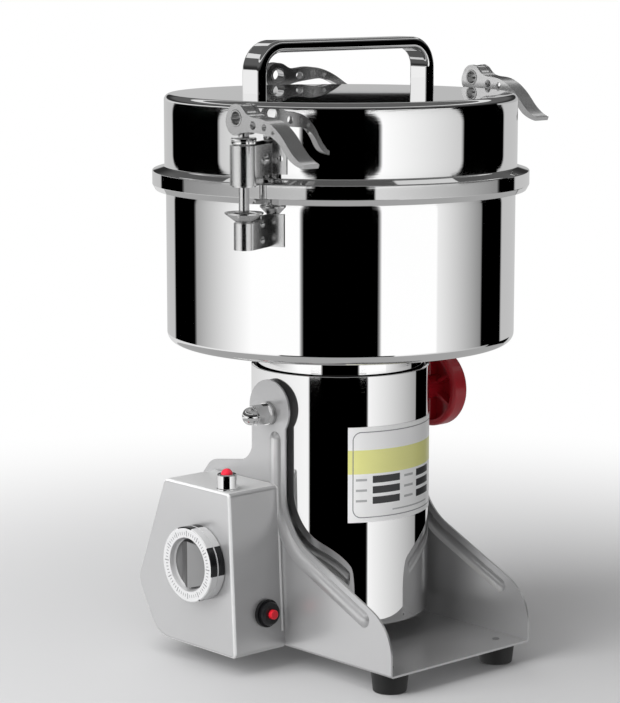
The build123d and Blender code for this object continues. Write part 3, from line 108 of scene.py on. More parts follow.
class GrinderSizes(bpy.types.PropertyGroup):
    """Sizes of the shells, the handle and the timer knob"""
    sheet: length("Pot sheet", "Thickness of the bowl, lid and motor shell", 1.5)
    bowl_edge: length("Bowl edge", "Radius of the bowl's lower edge", 7.0)
    seal_hole: length("Seal hole", "Radius of the hole for the shaft seal", 13.6)
    lid_edge: length("Lid edge", "Radius of the lid's top edge", 4.5)
    lid_wall: length("Lid wall", "How far the lid's wall stands outside the bowl's", 1.0)
    ring_foot: length("Ring foot", "From the lid ring's underside up to its band", 4.0)
    ring_band: length("Ring band", "Height of the lid ring's upright band", 9.8)
    ring_shoulder: length("Ring shoulder", "Rise from the band to the lid's wall", 2.7)
    ring_taper: length("Ring taper", "How far the ring's foot draws in", 2.2)
    ring_lip: length("Ring lip", "Inner radius of the ring's underside", 130.5)
    shell_edge: length("Shell edge", "Radius of the motor shell's lower edge", 3.0)
    shell_radius: length("Shell radius", "Outer radius of the motor shell", 64.5)
    vent_length: length("Vent length", "Length of a slot under the motor", 26.0)
    vent_width: length("Vent width", "Width of a slot under the motor", 4.0)
    vent_circle: length("Vent circle", "Radius of the circle through the slots", 38.0)
    boss: length("Pivot boss", "Radius of the threaded bush at each pivot", 12.0)
    handle_bar: length("Handle bar", "Thickness of the lid's handle", 8.4)
    handle_width: length("Handle width", "Width of the lid's handle", 19.0)
    handle_bend: length("Handle bend", "Radius of the handle's bends, at its middle line", 18.0)
    handle_round: length("Handle corner", "Radius of the bar's corners", 2.6)
    knob_recess: length("Knob recess", "Radius of the timer knob's recess", 18.2)
    knob_depth: length("Knob recess depth", "Depth of the timer knob's recess", 5.5)
    knob_grip: length("Knob grip", "Width of the grip at its foot", 25.0)
    lamp_bore: length("Lamp bore", "Radius of the lens seat in the lamp ring", 4.4)


class GrinderColours(bpy.types.PropertyGroup):
    """Colours of the finishes"""
    steel: colour("Polished steel", "Bowl, lid, motor shell and handle", (0.83, 0.83, 0.83))
    latch: colour("Latch steel", "Levers, rods, brackets and catches", (0.74, 0.74, 0.74))
    paint: colour("Silver paint", "Frame and control box", (0.56, 0.56, 0.565))
    # This pale colour is painted light: highlights on the frame's cut edges and the box's bends, and light on the
    # box's top and the upper cheeks.
    painted_light_colour: colour("Sheet edge", "Cut edge of the frame's sheet", (0.84, 0.84, 0.84))
    rubber: colour("Rubber", "Feet", (0.012, 0.012, 0.012))
    # On the timer knob this black paints the reflections on its chrome skirt.
    black: colour("Black plastic", "Breaker, gland and knob marks", (0.008, 0.008, 0.009))
    lock_red: colour("Lock knob", "Red of the tilt lock's knob", (0.44, 0.008, 0.018))
    lamp_red: colour("Lamp lens", "Red of the pilot lamp", (0.80, 0.02, 0.05))
    button_red: colour("Breaker button", "Red of the breaker's button", (0.66, 0.015, 0.03))
    dial: colour("Timer knob", "Silver of the timer knob", (0.70, 0.70, 0.705))
    dial_print: colour("Dial marks", "Graduations round the timer knob", (0.28, 0.28, 0.29))
    sheet: colour("Label sheet", "Ground of the rating label", (0.93, 0.93, 0.93))
    band: colour("Label band", "Band across the label", (0.86, 0.85, 0.32))
    boxes: colour("Label boxes", "Dark boxes on the label", (0.022, 0.022, 0.025))


class GrinderStudio(bpy.types.PropertyGroup):
    """Floor, light and camera"""
    floor: colour("Floor", "Pale floor under the grinder", (0.56, 0.56, 0.565))
    white: colour("Backdrop", "What the camera sees far behind", (1.0, 1.0, 1.0))
    roof: share("Roof", "Brightness of the studio's roof in the polished steel", 0.03)
    high: share("High screen", "Brightness of the band of light high up, seen in rounded edges", 0.85)
    under: share("Underneath", "Brightness of the floor, seen in edges that face down", 0.42)
    ceiling: share("Ceiling", "Brightness overhead, seen in the latch levers", 0.12)
    dome: share("Dome", "Brightness of the soft light from all round", 0.30)
    heading: turn("Camera heading", "Way from the camera to the pot, from +Y", -42.9)
    aside: turn("Camera aside", "How far the camera looks aside of the pot", 0.73)
    fall: turn("Camera fall", "How far the camera looks down", 9.25)
    distance: length("Camera distance", "From the camera to the pot's axis, level", 1724.0)
    height: length("Camera height", "Height of the camera over the floor", 499.5)
    focus: length("Camera lens", "Focal length for a 36 mm wide sensor", 123.4)


GROUPS = {"grinder_sizes": GrinderSizes, "grinder_colours": GrinderColours, "grinder_studio": GrinderStudio}


def sizes():
    return bpy.context.scene.grinder_sizes


def colours():
    return bpy.context.scene.grinder_colours


# Shader sums

class Value:
    """A number that varies over a surface; sums on it become Math nodes."""

    def __init__(self, finish, socket):
        self.finish, self.socket = finish, socket

    def __add__(self, other):
        return self.finish.maths("ADD", self, other)

    def __sub__(self, other):
        return self.finish.maths("SUBTRACT", self, other)

    def __rsub__(self, other):
        return self.finish.maths("SUBTRACT", other, self)

    def __mul__(self, other):
        return self.finish.maths("MULTIPLY", self, other)

    def __truediv__(self, other):
        return self.finish.maths("DIVIDE", self, other)

    def __pow__(self, other):
        return self.finish.maths("POWER", self, other)

    def __gt__(self, other):
        return self.finish.maths("GREATER_THAN", self, other)

    def __lt__(self, other):
        return self.finish.maths("LESS_THAN", self, other)

    def __neg__(self):
        return self.finish.maths("MULTIPLY", self, -1.0)

    def __abs__(self):
        return self.finish.maths("ABSOLUTE", self)

    __radd__ = __add__
    __rmul__ = __mul__

    def at_least(self, other):
        return self.finish.maths("MAXIMUM", self, other)

    def at_most(self, other):
        return self.finish.maths("MINIMUM", self, other)

    def within(self, low, high):
        """1 between two levels, 0 outside them."""
        return (self > low) * (self < high)

    def eased(self, low, high):
        """0 up to one level, 1 from another, smooth between."""
        return self.finish.node("ShaderNodeMapRange", {"interpolation_type": "SMOOTHSTEP"},
                                self, low, high, 0.0, 1.0)


class Finish:
    """A node tree, with one method that adds any node to it."""

    def __init__(self, tree):
        self.tree = tree

    def node(self, kind, settings=None, *inputs, output=0, **named):
        made = self.tree.nodes.new(kind)
        for key, value in (settings or {}).items():
            if key == "stops":
                set_stops(made.color_ramp, value)
            else:
                setattr(made, key, value)
        for place, value in list(enumerate(inputs)) + [(k.replace("_", " "), v) for k, v in named.items()]:
            self.feed(made.inputs[place], value)
        return Value(self, made.outputs[output])

    def feed(self, socket, value):
        if isinstance(value, Value):
            self.tree.links.new(value.socket, socket)
        else:
            socket.default_value = value

    def maths(self, operation, *terms):
        return self.node("ShaderNodeMath", {"operation": operation}, *terms)

    def place(self):
        """Where a point of the piece is, in metres."""
        return self.node("ShaderNodeTexCoord", output=3)

    def facing(self):
        """Which way the surface faces, in the piece's own axes."""
        return self.node("ShaderNodeTexCoord", output=1)

    def parts(self, vector):
        split = self.node("ShaderNodeSeparateXYZ", None, vector)
        return [Value(self, split.socket.node.outputs[i]) for i in range(3)]

    def noise(self, vector, scale, detail=3.0):
        return self.node("ShaderNodeTexNoise", None, Vector=vector, Scale=scale, Detail=detail)

    def stretched(self, vector, scale):
        return self.node("ShaderNodeMapping", None, Vector=vector, Scale=scale)

    def mix(self, factor, first, second):
        """One colour where the factor is 0, the other where it is 1."""
        made = self.node("ShaderNodeMix", {"data_type": "RGBA"}, output=2)
        for place, value in ((0, factor), (6, first), (7, second)):
            self.feed(made.socket.node.inputs[place], value)
        return made

    def surface(self, **sockets):
        """Sets or links sockets of the material's shader, named with underscores."""
        shader = self.tree.nodes["Principled BSDF"]
        for name, value in sockets.items():
            self.feed(shader.inputs[name.replace("_", " ")], value)


def set_stops(ramp, stops):
    """Gives a ramp its (place, brightness) stops."""
    while len(ramp.elements) > 1:
        ramp.elements.remove(ramp.elements[-1])
    for i, (place, shade) in enumerate(stops):
        stop = ramp.elements[0] if i == 0 else ramp.elements.new(place)
        stop.position = place
        stop.color = (shade, shade, shade, 1)


# Finishes

def new_material(name, **steady):
    """A material whose shader has steady sockets set by name; returns it and its finish."""
    material = bpy.data.materials.new(name)
    material.use_nodes = True
    finish = Finish(material.node_tree)
    finish.surface(**steady)
    return material, finish


def grey(level):
    return (level, level, level)


def opaque(shade, brightness=1.0):
    return tuple(min(channel * brightness, 1.0) for channel in shade) + (1.0,)


def varied(finish, factor, shade, spread):
    """A colour that goes from a little darker to a little lighter with the factor."""
    return finish.mix(factor, opaque(shade, 1 - spread), opaque(shade, 1 + spread))


def clouded(finish, shade, scale, spread):
    """A colour that wanders over the piece in soft clouds."""
    return varied(finish, finish.noise(finish.place(), scale), shade, spread)


def bumps(finish, height, strength, distance):
    """Fine relief that follows a value."""
    finish.surface(Normal=finish.node("ShaderNodeBump", None, Strength=strength, Distance=distance,
                                      Height=height))


def mirror_steel(name, shade, polish=0.012, wear=0.012):
    """Mirror-polished sheet with a faint haze and fine rubbing marks round the pot."""
    material, finish = new_material(name, Metallic=1.0)
    finish.surface(Base_Color=clouded(finish, shade, 9.0, 0.015))
    haze = finish.noise(finish.place(), 26.0, 5.0)
    finish.surface(Roughness=polish + wear * haze)
    rubbing = finish.noise(finish.stretched(finish.place(), (40.0, 40.0, 1500.0)), 1.0, 2.0)
    bumps(finish, rubbing, 0.012, 0.00006)
    return material


def brushed_steel(name, shade, roughness, grain, strength=0.05, spread=0.06):
    """Steel with a grain along one direction: the grain's scales are counts per metre along X, Y and Z."""
    material, finish = new_material(name, Metallic=1.0)
    lines = finish.noise(finish.stretched(finish.place(), grain), 1.0, 3.0)
    finish.surface(Base_Color=varied(finish, lines, shade, spread))
    finish.surface(Roughness=roughness + 0.08 * finish.noise(finish.place(), 40.0, 4.0))
    bumps(finish, lines, strength, 0.0001)
    return material


# The frame's paint carries painted highlights along the sheet's cut edges, above the tray's share of its height,
# and painted light up the cheeks between two heights.
SHEET_EDGE = 1.7 * MM
ABOVE_TRAY = 0.13
UPPER_CHEEK = (0.09, 0.2)


def silver_paint(name, shade, edge):
    """Silver paint with fine flakes; painted highlights on cut edges and bends, painted light on box top and upper
    cheeks.
    """
    material, finish = new_material(name, Coat_Roughness=0.12)
    flakes = finish.noise(finish.place(), 2600.0, 2.0)
    x, _, z = finish.parts(finish.place())
    across, _, facing_up = finish.parts(finish.facing())
    low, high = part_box("base_frame")
    cheek = (high.x - low.x) / 2
    outside = abs(x - (low.x + high.x) / 2)
    # Painted highlight along the cheeks' cut edges, above the tray.
    painted_edge_highlights = outside.within(cheek - SHEET_EDGE, cheek + 0.05 * MM) * (abs(across) < 0.6)
    painted_edge_highlights = painted_edge_highlights * (z > high.z * ABOVE_TRAY)
    # Painted highlights on the box's rounded bends, and painted light on the box's top.
    painted_bend_highlights = abs(across).eased(0.10, 0.35) * (1 - abs(across).eased(0.85, 0.985)) * 0.85
    painted_box_top_light = (facing_up > 0.95) * (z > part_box("control_box")[1].z - 1 * MM) * 0.8
    on_box = outside > cheek + 0.2 * MM
    # Painted light that grows brighter up the cheeks' outer faces.
    painted_cheek_light = (outside > cheek - 0.2 * MM) * z.eased(*UPPER_CHEEK) * 0.45
    painted_light_mask = painted_edge_highlights.at_least(painted_bend_highlights.at_least(painted_box_top_light) * on_box).at_least(painted_cheek_light)
    coat = clouded(finish, shade, 12.0, 0.03)
    # The painted highlights and painted light mix the coat towards the pale edge colour.
    finish.surface(Base_Color=finish.mix(painted_light_mask, coat, opaque(edge)))
    finish.surface(Metallic=0.66 * (1 - 0.8 * painted_light_mask))
    finish.surface(Roughness=0.27 + 0.08 * flakes)
    finish.surface(Coat_Weight=0.2 + 0.1 * finish.noise(finish.place(), 30.0))
    bumps(finish, flakes, 0.03, 0.0001)
    return material


def moulded(name, shade, roughness, grain=1800.0, strength=0.06, spread=0.15, coat=0.0):
    """Moulded plastic or rubber with a fine grain."""
    material, finish = new_material(name)
    finish.surface(Base_Color=clouded(finish, shade, 30.0, spread))
    speck = finish.noise(finish.place(), grain, 2.0)
    finish.surface(Roughness=roughness + 0.1 * finish.noise(finish.place(), 60.0))
    if coat:
        finish.surface(Coat_Weight=coat + 0.1 * speck)
    bumps(finish, speck, strength, 0.0002)
    return material


# The dial's rings and its skirt are shares of the knob's radius, its steps and the painted reflections on its
# skirt are in degrees, and a tick's width is a share of its step.
DIAL_RING, DIAL_LONG = (0.79, 0.875), (0.76, 0.91)
DIAL_STEP, LONG_STEP = 6.0, 30.0
TICK, LONG_TICK = 0.26, 0.07
SKIRT = 0.967
SKIRT_REFLECTIONS = ((-9.0, 36.0), (80.0, 112.0), (-62.0, -59.0))


def dial_silver(name, shade, marks, black):
    """Silver knob with graduations round its face, painted shade in its recess and black painted reflections on
    its skirt.
    """
    material, finish = new_material(name, Metallic=0.35)
    middle = centre_of("timer_knob")
    x, y, z = finish.parts(finish.place())
    aside, up = middle.y - y, z - middle.z
    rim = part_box("timer_knob")[1].z - middle.z
    radius = (aside * aside + up * up) ** 0.5 / rim
    around = finish.maths("ARCTAN2", up, aside) * (180 / pi)
    ticks = finish.maths("FRACT", around / DIAL_STEP) < TICK
    long_ticks = finish.maths("FRACT", around / LONG_STEP) < LONG_TICK
    printed = (ticks * radius.within(*DIAL_RING)).at_least(long_ticks * radius.within(*DIAL_LONG))
    skirt = radius > SKIRT
    recess = sizes().knob_recess / rim
    inside = radius < 0.98 * recess
    # Painted shade over the whole recess, deeper on its left side and deepest next to the grip.
    painted_recess_shade = inside * (0.68 + (aside < 0.0) * (0.12 + 0.17 * aside.eased(-recess * rim, -0.1 * recess * rim)))
    # Painted reflections: black blocks on the chrome skirt, broken where its groove runs.
    painted_reflections = reduce(Value.at_least, [around.within(*reflection_span) for reflection_span in SKIRT_REFLECTIONS])
    painted_reflections = painted_reflections * skirt * (abs(x - middle.x) > 0.55 * MM)
    silver = finish.mix(painted_recess_shade, clouded(finish, shade, 60.0, 0.03), opaque(shade, 0.06))
    face = finish.mix(printed, silver, opaque(marks))
    finish.surface(Base_Color=finish.mix(painted_reflections, face, opaque(black)))
    finish.surface(Roughness=0.30 - 0.12 * skirt + 0.05 * finish.noise(finish.place(), 60.0))
    finish.surface(Metallic=0.35 * (1 - painted_reflections))
    grain = finish.noise(finish.place(), 2400.0, 2.0)
    bumps(finish, grain * 0.2 - printed, 0.25, 0.0002)
    return material


# The label lies between two angles round the pot, in degrees.  Its prints are placed by shares of its width
# and height, and its border by inset, corner radius and half the line's width.
LABEL_SPAN = (-128.0, -44.0)
LABEL_BAND = (0.51, 0.76)
LABEL_ROWS = ((0.41, 0.485), (0.30, 0.375), (0.19, 0.265))
LABEL_COLUMNS = ((0.19, 0.43), (0.62, 0.84))
LABEL_CAPTIONS = ((0.06, 0.145), (0.475, 0.575))
LABEL_RULE = 0.012
LABEL_FOOT_LINE = ((0.36, 0.80), (0.105, 0.12))
LABEL_BORDER = (3.6 * MM, 6.0 * MM, 0.35 * MM)
LABEL_INK = (0.25, 0.25, 0.26, 1.0)


def printed_sheet(name, sheet, band, boxes):
    """Rating label without lettering: a coloured band, rows of dark boxes and a thin rounded border."""
    material, finish = new_material(name, Coat_Roughness=0.15)
    low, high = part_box("rating_label")
    x, y, z = finish.parts(finish.place())
    around = finish.maths("ARCTAN2", y - POT_AXIS.y, x - POT_AXIS.x) * (180 / pi)
    across = (around - LABEL_SPAN[0]) / (LABEL_SPAN[1] - LABEL_SPAN[0])
    up = (z - low.z) / (high.z - low.z)
    wide, tall = sizes().shell_radius * radians(LABEL_SPAN[1] - LABEL_SPAN[0]), high.z - low.z
    inset, corner, line = LABEL_BORDER
    aside = (abs(across - 0.5) * wide - (wide / 2 - inset - corner)).at_least(0.0)
    above = (abs(up - 0.5) * tall - (tall / 2 - inset - corner)).at_least(0.0)
    border = abs((aside * aside + above * above) ** 0.5 - corner) < line
    foot_line = across.within(*LABEL_FOOT_LINE[0]) * up.within(*LABEL_FOOT_LINE[1])
    boxed, captions = [], [foot_line]
    for bottom, top in LABEL_ROWS:
        row, middle = up.within(bottom, top), (bottom + top) / 2
        rule = up.within(middle - LABEL_RULE, middle + LABEL_RULE)
        boxed += [row * across.within(*column) for column in LABEL_COLUMNS]
        captions += [rule * across.within(*column) for column in LABEL_CAPTIONS]
    boxed, captions = reduce(Value.at_least, boxed), reduce(Value.at_least, captions)
    ground = clouded(finish, sheet, 50.0, 0.02)
    ground = finish.mix(up.within(*LABEL_BAND), ground, opaque(band))
    ground = finish.mix(border.at_least(captions * 0.7), ground, LABEL_INK)
    finish.surface(Base_Color=finish.mix(boxed, ground, opaque(boxes)))
    finish.surface(Roughness=0.32 + 0.08 * finish.noise(finish.place(), 90.0))
    finish.surface(Coat_Weight=0.2 + 0.1 * finish.noise(finish.place(), 40.0))
    bumps(finish, boxed + border, 0.05, 0.0001)
    return material


class MixFinishes(bpy.types.Operator):
    """Mixes every finish of the grinder from its colours"""
    bl_idname = "grinder.finishes"
    bl_label = "Finishes"

    def execute(self, context):
        tints = colours()
        FINISHES.update({
            "frame_paint": silver_paint("silver paint", tints.paint, tints.painted_light_colour),
            "polished_steel": mirror_steel("mirror steel", tints.steel),
            "plain_steel": brushed_steel("turned steel", grey(0.52), 0.24, (90.0, 2600.0, 2600.0)),
            "bright_screws": brushed_steel("plated screws", grey(0.64), 0.18, (600.0, 600.0, 600.0)),
            "foot_rubber": moulded("foot rubber", tints.rubber, 0.45, 900.0, 0.15, 0.4),
            "seal_rubber": moulded("seal silicone", (0.65, 0.65, 0.63), 0.45),
            "timer_case": moulded("timer case", (0.08, 0.08, 0.085), 0.45),
            "knob_silver": dial_silver("knob silver", tints.dial, tints.dial_print, tints.black),
            "lamp_chrome": mirror_steel("bright chrome", tints.steel, 0.05, 0.05),
            "lamp_red": moulded("lamp red", tints.lamp_red, 0.1, 900.0, 0.02, 0.1, coat=0.5),
            "black_plastic": moulded("black plastic", tints.black, 0.24, 1800.0, 0.05, 0.4),
            "button_red": moulded("button red", tints.button_red, 0.3),
            "knob_red": moulded("knob red", tints.lock_red, 0.30, 1500.0, 0.05, 0.1, coat=0.15),
            "cast_aluminium": brushed_steel("cast aluminium", grey(0.45), 0.34, (700.0, 700.0, 700.0), 0.2),
            "core_steel": brushed_steel("laminated steel", grey(0.17), 0.4, (80.0, 80.0, 2400.0), 0.4),
            "copper": brushed_steel("varnished copper", (0.55, 0.22, 0.08), 0.35, (300.0, 300.0, 1600.0),
                                    0.4, 0.2),
            "carbon": moulded("carbon block", (0.035, 0.035, 0.035), 0.6),
            "brush_brass": brushed_steel("holder brass", (0.60, 0.44, 0.16), 0.3, (900.0, 900.0, 900.0)),
            "fan_plastic": moulded("fan plastic", (0.045, 0.045, 0.045), 0.45),
            "blade_steel": brushed_steel("ground blade steel", grey(0.6), 0.2, (2200.0, 120.0, 400.0)),
            "latch_steel": brushed_steel("latch steel", tints.latch, 0.16, (500.0, 500.0, 500.0), 0.02, 0.03),
            "label": printed_sheet("label sheet", tints.sheet, tints.band, tints.boxes),
        })
        return {"FINISHED"}


# Modelling by hand

def calm():
    """Object mode with nothing selected."""
    if bpy.context.mode != "OBJECT":
        bpy.ops.object.mode_set(mode="OBJECT")
    bpy.ops.object.select_all(action="DESELECT")


def choose(piece):
    """The one selected and active object."""
    calm()
    piece.select_set(True)
    bpy.context.view_layer.objects.active = piece


def settled(piece):
    """Puts a piece's place, turn and size into its mesh."""
    choose(piece)
    bpy.ops.object.transform_apply(location=True, rotation=True, scale=True)
    return piece


def linked(name, data):
    """A new object of the scene."""
    made = bpy.data.objects.new(name, data)
    bpy.context.scene.collection.objects.link(made)
    return made


def shaping(piece):
    """Edit mode with everything selected."""
    choose(piece)
    bpy.ops.object.mode_set(mode="EDIT")
    bpy.ops.mesh.select_all(action="SELECT")


def pick(piece, chosen):
    """Selects the vertices whose place passes a test, in edit mode."""
    bpy.ops.mesh.select_mode(type="VERT")
    bpy.ops.mesh.select_all(action="DESELECT")
    bpy.ops.object.mode_set(mode="OBJECT")
    for vertex in piece.data.vertices:
        vertex.select = chosen(vertex.co)
    bpy.ops.object.mode_set(mode="EDIT")


def closed_up(fill=False):
    """Closes the mesh in edit mode, by merging or by filling its ends, and turns its faces outwards."""
    bpy.ops.mesh.select_all(action="SELECT")
    if fill:
        bpy.ops.mesh.fill_holes(sides=0)
    else:
        bpy.ops.mesh.remove_doubles(threshold=1e-6)
    bpy.ops.mesh.select_all(action="SELECT")
    bpy.ops.mesh.normals_make_consistent(inside=False)
    bpy.ops.object.mode_set(mode="OBJECT")


def apply_modifier(piece, kind, **settings):
    choose(piece)
    modifier = piece.modifiers.new(kind.lower(), kind)
    for key, value in settings.items():
        setattr(modifier, key, value)
    bpy.ops.object.modifier_apply(modifier=modifier.name)
    return piece


def rounded(corners, steps):
    """An outline of (radius, height) points, with each corner that has a third number rounded to it."""
    points = []
    for i, corner in enumerate(corners):
        here = Vector(corner[:2])
        if len(corner) < 3:
            points.append(tuple(here))
            continue
        before = (Vector(corners[i - 1][:2]) - here).normalized()
        after = (Vector(corners[(i + 1) % len(corners)][:2]) - here).normalized()
        half = before.angle(after) / 2
        reach = corner[2] / abs(sin(half) / cos(half))
        middle = here + (before + after).normalized() * corner[2] / sin(half)
        start, end = here + before * reach - middle, here + after * reach - middle
        swing = start.angle_signed(end)
        for step in range(steps + 1):
            points.append(tuple(middle + Matrix.Rotation(-swing * step / steps, 2) @ start))
    return points


def turned(name, outline, sides, centre=(0.0, 0.0), closed=True):
    """Turns an outline of (radius, height) points in metres about an upright axis, ring by ring."""
    calm()
    radius, height = outline[0]
    bpy.ops.mesh.primitive_circle_add(vertices=sides, radius=radius, location=(*centre, height))
    piece = bpy.context.object
    piece.name = name
    bpy.ops.object.mode_set(mode="EDIT")
    bpy.ops.mesh.select_all(action="SELECT")
    rings = list(outline[1:]) + ([outline[0]] if closed else [])
    for new_radius, new_height in rings:
        bpy.ops.mesh.extrude_region_move(TRANSFORM_OT_translate={"value": (0, 0, new_height - height)})
        scale = new_radius / radius
        bpy.ops.transform.resize(value=(scale, scale, 1), center_override=(*centre, new_height))
        radius, height = new_radius, new_height
    closed_up(fill=not closed)
    return piece


def set_along(piece, place, outward):
    """Lays a piece that was made upright about the origin along another direction, at its place."""
    settled(piece)
    out = Vector(outward).normalized()
    across = Vector((0, 0, 1)).cross(out).normalized()
    turn_to = Matrix((across, out.cross(across), out)).transposed()
    piece.matrix_world = Matrix.Translation(place) @ turn_to.to_4x4()
    return settled(piece)


def joined(*pieces):
    choose(pieces[0])
    for piece in pieces[1:]:
        piece.select_set(True)
    bpy.ops.object.join()
    return pieces[0]


def copied(name, node):
    """A merged copy of a node of the frame, as a start to shape on."""
    copy = linked(name, NODES[node].data.copy())
    shaping(copy)
    bpy.ops.mesh.remove_doubles(threshold=2e-6)
    bpy.ops.mesh.dissolve_limited(angle_limit=radians(0.5))
    bpy.ops.object.mode_set(mode="OBJECT")
    return copy


def softened(piece, width, segments=2):
    """Rounds the sharp edges of a piece."""
    return apply_modifier(piece, "BEVEL", width=width, segments=segments, angle_limit=radians(40),
                          use_clamp_overlap=True, harden_normals=False)


def dressed(piece, body, slot, node, finish=None, smooth=32):
    """Settles a finished piece: place in its mesh, smooth faces, finish, body and the node it stands for."""
    settled(piece)
    bpy.ops.object.shade_smooth_by_angle(angle=radians(smooth))
    apply_modifier(piece, "WEIGHTED_NORMAL", keep_sharp=True)
    piece.data.materials.clear()
    piece.data.materials.append(finish or FINISHES[slot])
    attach(piece, body)
    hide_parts(node)


# The pieces

class FinishCarried(bpy.types.Operator):
    """Gives every node of the frame the finish of its slot"""
    bl_idname = "grinder.carried_nodes"
    bl_label = "Carried nodes"

    def execute(self, context):
        slots = {part["node"]: part["material_slot"] for part in frame["record"]["subparts"]}
        for name, node in NODES.items():
            node.data.materials.clear()
            node.data.materials.append(FINISHES[slots[name]])
        return {"FINISHED"}


class BuildBowl(bpy.types.Operator):
    """Bowl, turned from one sheet with a rounded lower edge"""
    bl_idname = "grinder.bowl"
    bl_label = "Bowl"

    def execute(self, context):
        low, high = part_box("grinding_bowl")
        size, radius = sizes(), radius_of("grinding_bowl")
        wall, edge, hole = size.sheet, size.bowl_edge, size.seal_hole
        outline = rounded([(hole, low.z), (radius, low.z, edge), (radius, high.z), (radius - wall, high.z),
                           (radius - wall, low.z + wall, edge - wall), (hole, low.z + wall)], 10)
        dressed(turned("bowl_shell", outline, 192, POT_AXIS), "pot", "polished_steel", "grinding_bowl")
        return {"FINISHED"}


class BuildLid(bpy.types.Operator):
    """Lid, turned with its rounded edge and the ring that drops over the bowl's rim"""
    bl_idname = "grinder.lid"
    bl_label = "Lid"

    def execute(self, context):
        low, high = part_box("grinder_lid")
        size, wall = sizes(), sizes().sheet
        radius, ring = radius_of("grinding_bowl") + size.lid_wall, radius_of("grinder_lid")
        band_low = low.z + size.ring_foot
        band_high = band_low + size.ring_band
        rise = band_high + size.ring_shoulder
        foot = ring - size.ring_taper
        outline = rounded([(1 * MM, high.z), (radius, high.z, size.lid_edge), (radius, rise, 1.0 * MM),
                           (ring, band_high, 0.9 * MM), (ring, band_low, 0.8 * MM), (foot, low.z, 0.5 * MM),
                           (size.ring_lip, low.z), (size.ring_lip, low.z + wall),
                           (foot - 0.4 * MM, low.z + wall), (ring - wall, band_low + 0.6 * MM),
                           (ring - wall, band_high - 1.0 * MM), (radius - wall, rise - 1.2 * MM),
                           (radius - wall, high.z - wall, size.lid_edge - wall), (1 * MM, high.z - wall)], 8)
        dressed(turned("lid_shell", outline, 192, POT_AXIS), "lid", "polished_steel", "grinder_lid")
        return {"FINISHED"}


class BuildMotorShell(bpy.types.Operator):
    """Motor shell with its vent slots and the two threaded bushes of the pivots"""
    bl_idname = "grinder.motor_shell"
    bl_label = "Motor shell"

    def execute(self, context):
        low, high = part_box("motor_shell")
        size, wall = sizes(), sizes().sheet
        radius = size.shell_radius
        outline = rounded([(1 * MM, low.z), (radius, low.z, size.shell_edge), (radius, high.z, 0.4 * MM),
                           (radius - wall, high.z), (radius - wall, low.z + wall, size.shell_edge - wall),
                           (1 * MM, low.z + wall)], 8)
        shell = turned("motor_shell_skin", outline, 160, POT_AXIS)
        self.cut_vents(shell, low.z)
        pivot = centre_of("pivot_bolt").z
        reach, bore, depth = high.x - POT_AXIS.x, 4.1 * MM, 7.9 * MM
        bush = [(bore, -depth), (size.boss, -depth), (size.boss, 0.0, 0.6 * MM), (bore, 0.0, 0.4 * MM)]
        bushes = []
        for side in (-1, 1):
            made = turned("pivot_bush", rounded(bush, 4), 48)
            bushes.append(set_along(made, (POT_AXIS.x + side * reach, POT_AXIS.y, pivot), (side, 0, 0)))
        dressed(joined(shell, *bushes), "pot", "polished_steel", "motor_shell")
        return {"FINISHED"}

    def cut_vents(self, shell, level):
        size, count = sizes(), 12
        cutters = []
        for i in range(count):
            angle = 2 * pi * i / count
            spot = POT_AXIS + Vector((cos(angle), sin(angle))) * size.vent_circle
            bpy.ops.mesh.primitive_cube_add(size=1, location=(*spot, level), rotation=(0, 0, angle))
            cutters.append(bpy.context.object)
            cutters[-1].scale = (size.vent_length, size.vent_width, 4 * size.sheet)
        cutter = joined(*cutters)
        apply_modifier(shell, "BOOLEAN", operation="DIFFERENCE", object=cutter, solver="EXACT")
        bpy.data.objects.remove(cutter)


class BuildHandle(bpy.types.Operator):
    """Lid handle: a flat bar with soft corners, drawn up, round two bends and down again"""
    bl_idname = "grinder.handle"
    bl_label = "Handle"

    def execute(self, context):
        low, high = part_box("lid_handle")
        size = sizes()
        leg = (high.x - low.x) / 2 - size.handle_bar / 2
        middle = (low + high) / 2
        top = high.z - size.handle_bar / 2
        bend = size.handle_bend
        start = Vector((middle.x - leg, middle.y, low.z))
        calm()
        bpy.ops.mesh.primitive_plane_add(size=1, location=start)
        handle = bpy.context.object
        handle.name = "handle_bar"
        handle.scale = (size.handle_bar, size.handle_width, 1)
        shaping(settled(handle))
        bpy.ops.mesh.bevel(offset=size.handle_round, segments=6, affect="VERTICES")
        bpy.ops.mesh.select_all(action="SELECT")
        self.draw((0, 0, top - bend - low.z))
        self.bend((middle.x - leg + bend, middle.y, top - bend))
        self.draw((2 * (leg - bend), 0, 0))
        self.bend((middle.x + leg - bend, middle.y, top - bend))
        self.draw((0, 0, low.z - top + bend))
        closed_up()
        dressed(handle, "lid", "polished_steel", "lid_handle")
        return {"FINISHED"}

    def draw(self, move):
        bpy.ops.mesh.extrude_region_move(TRANSFORM_OT_translate={"value": move})

    def bend(self, centre):
        bpy.ops.mesh.spin(steps=14, angle=-pi / 2, center=centre, axis=(0, 1, 0))


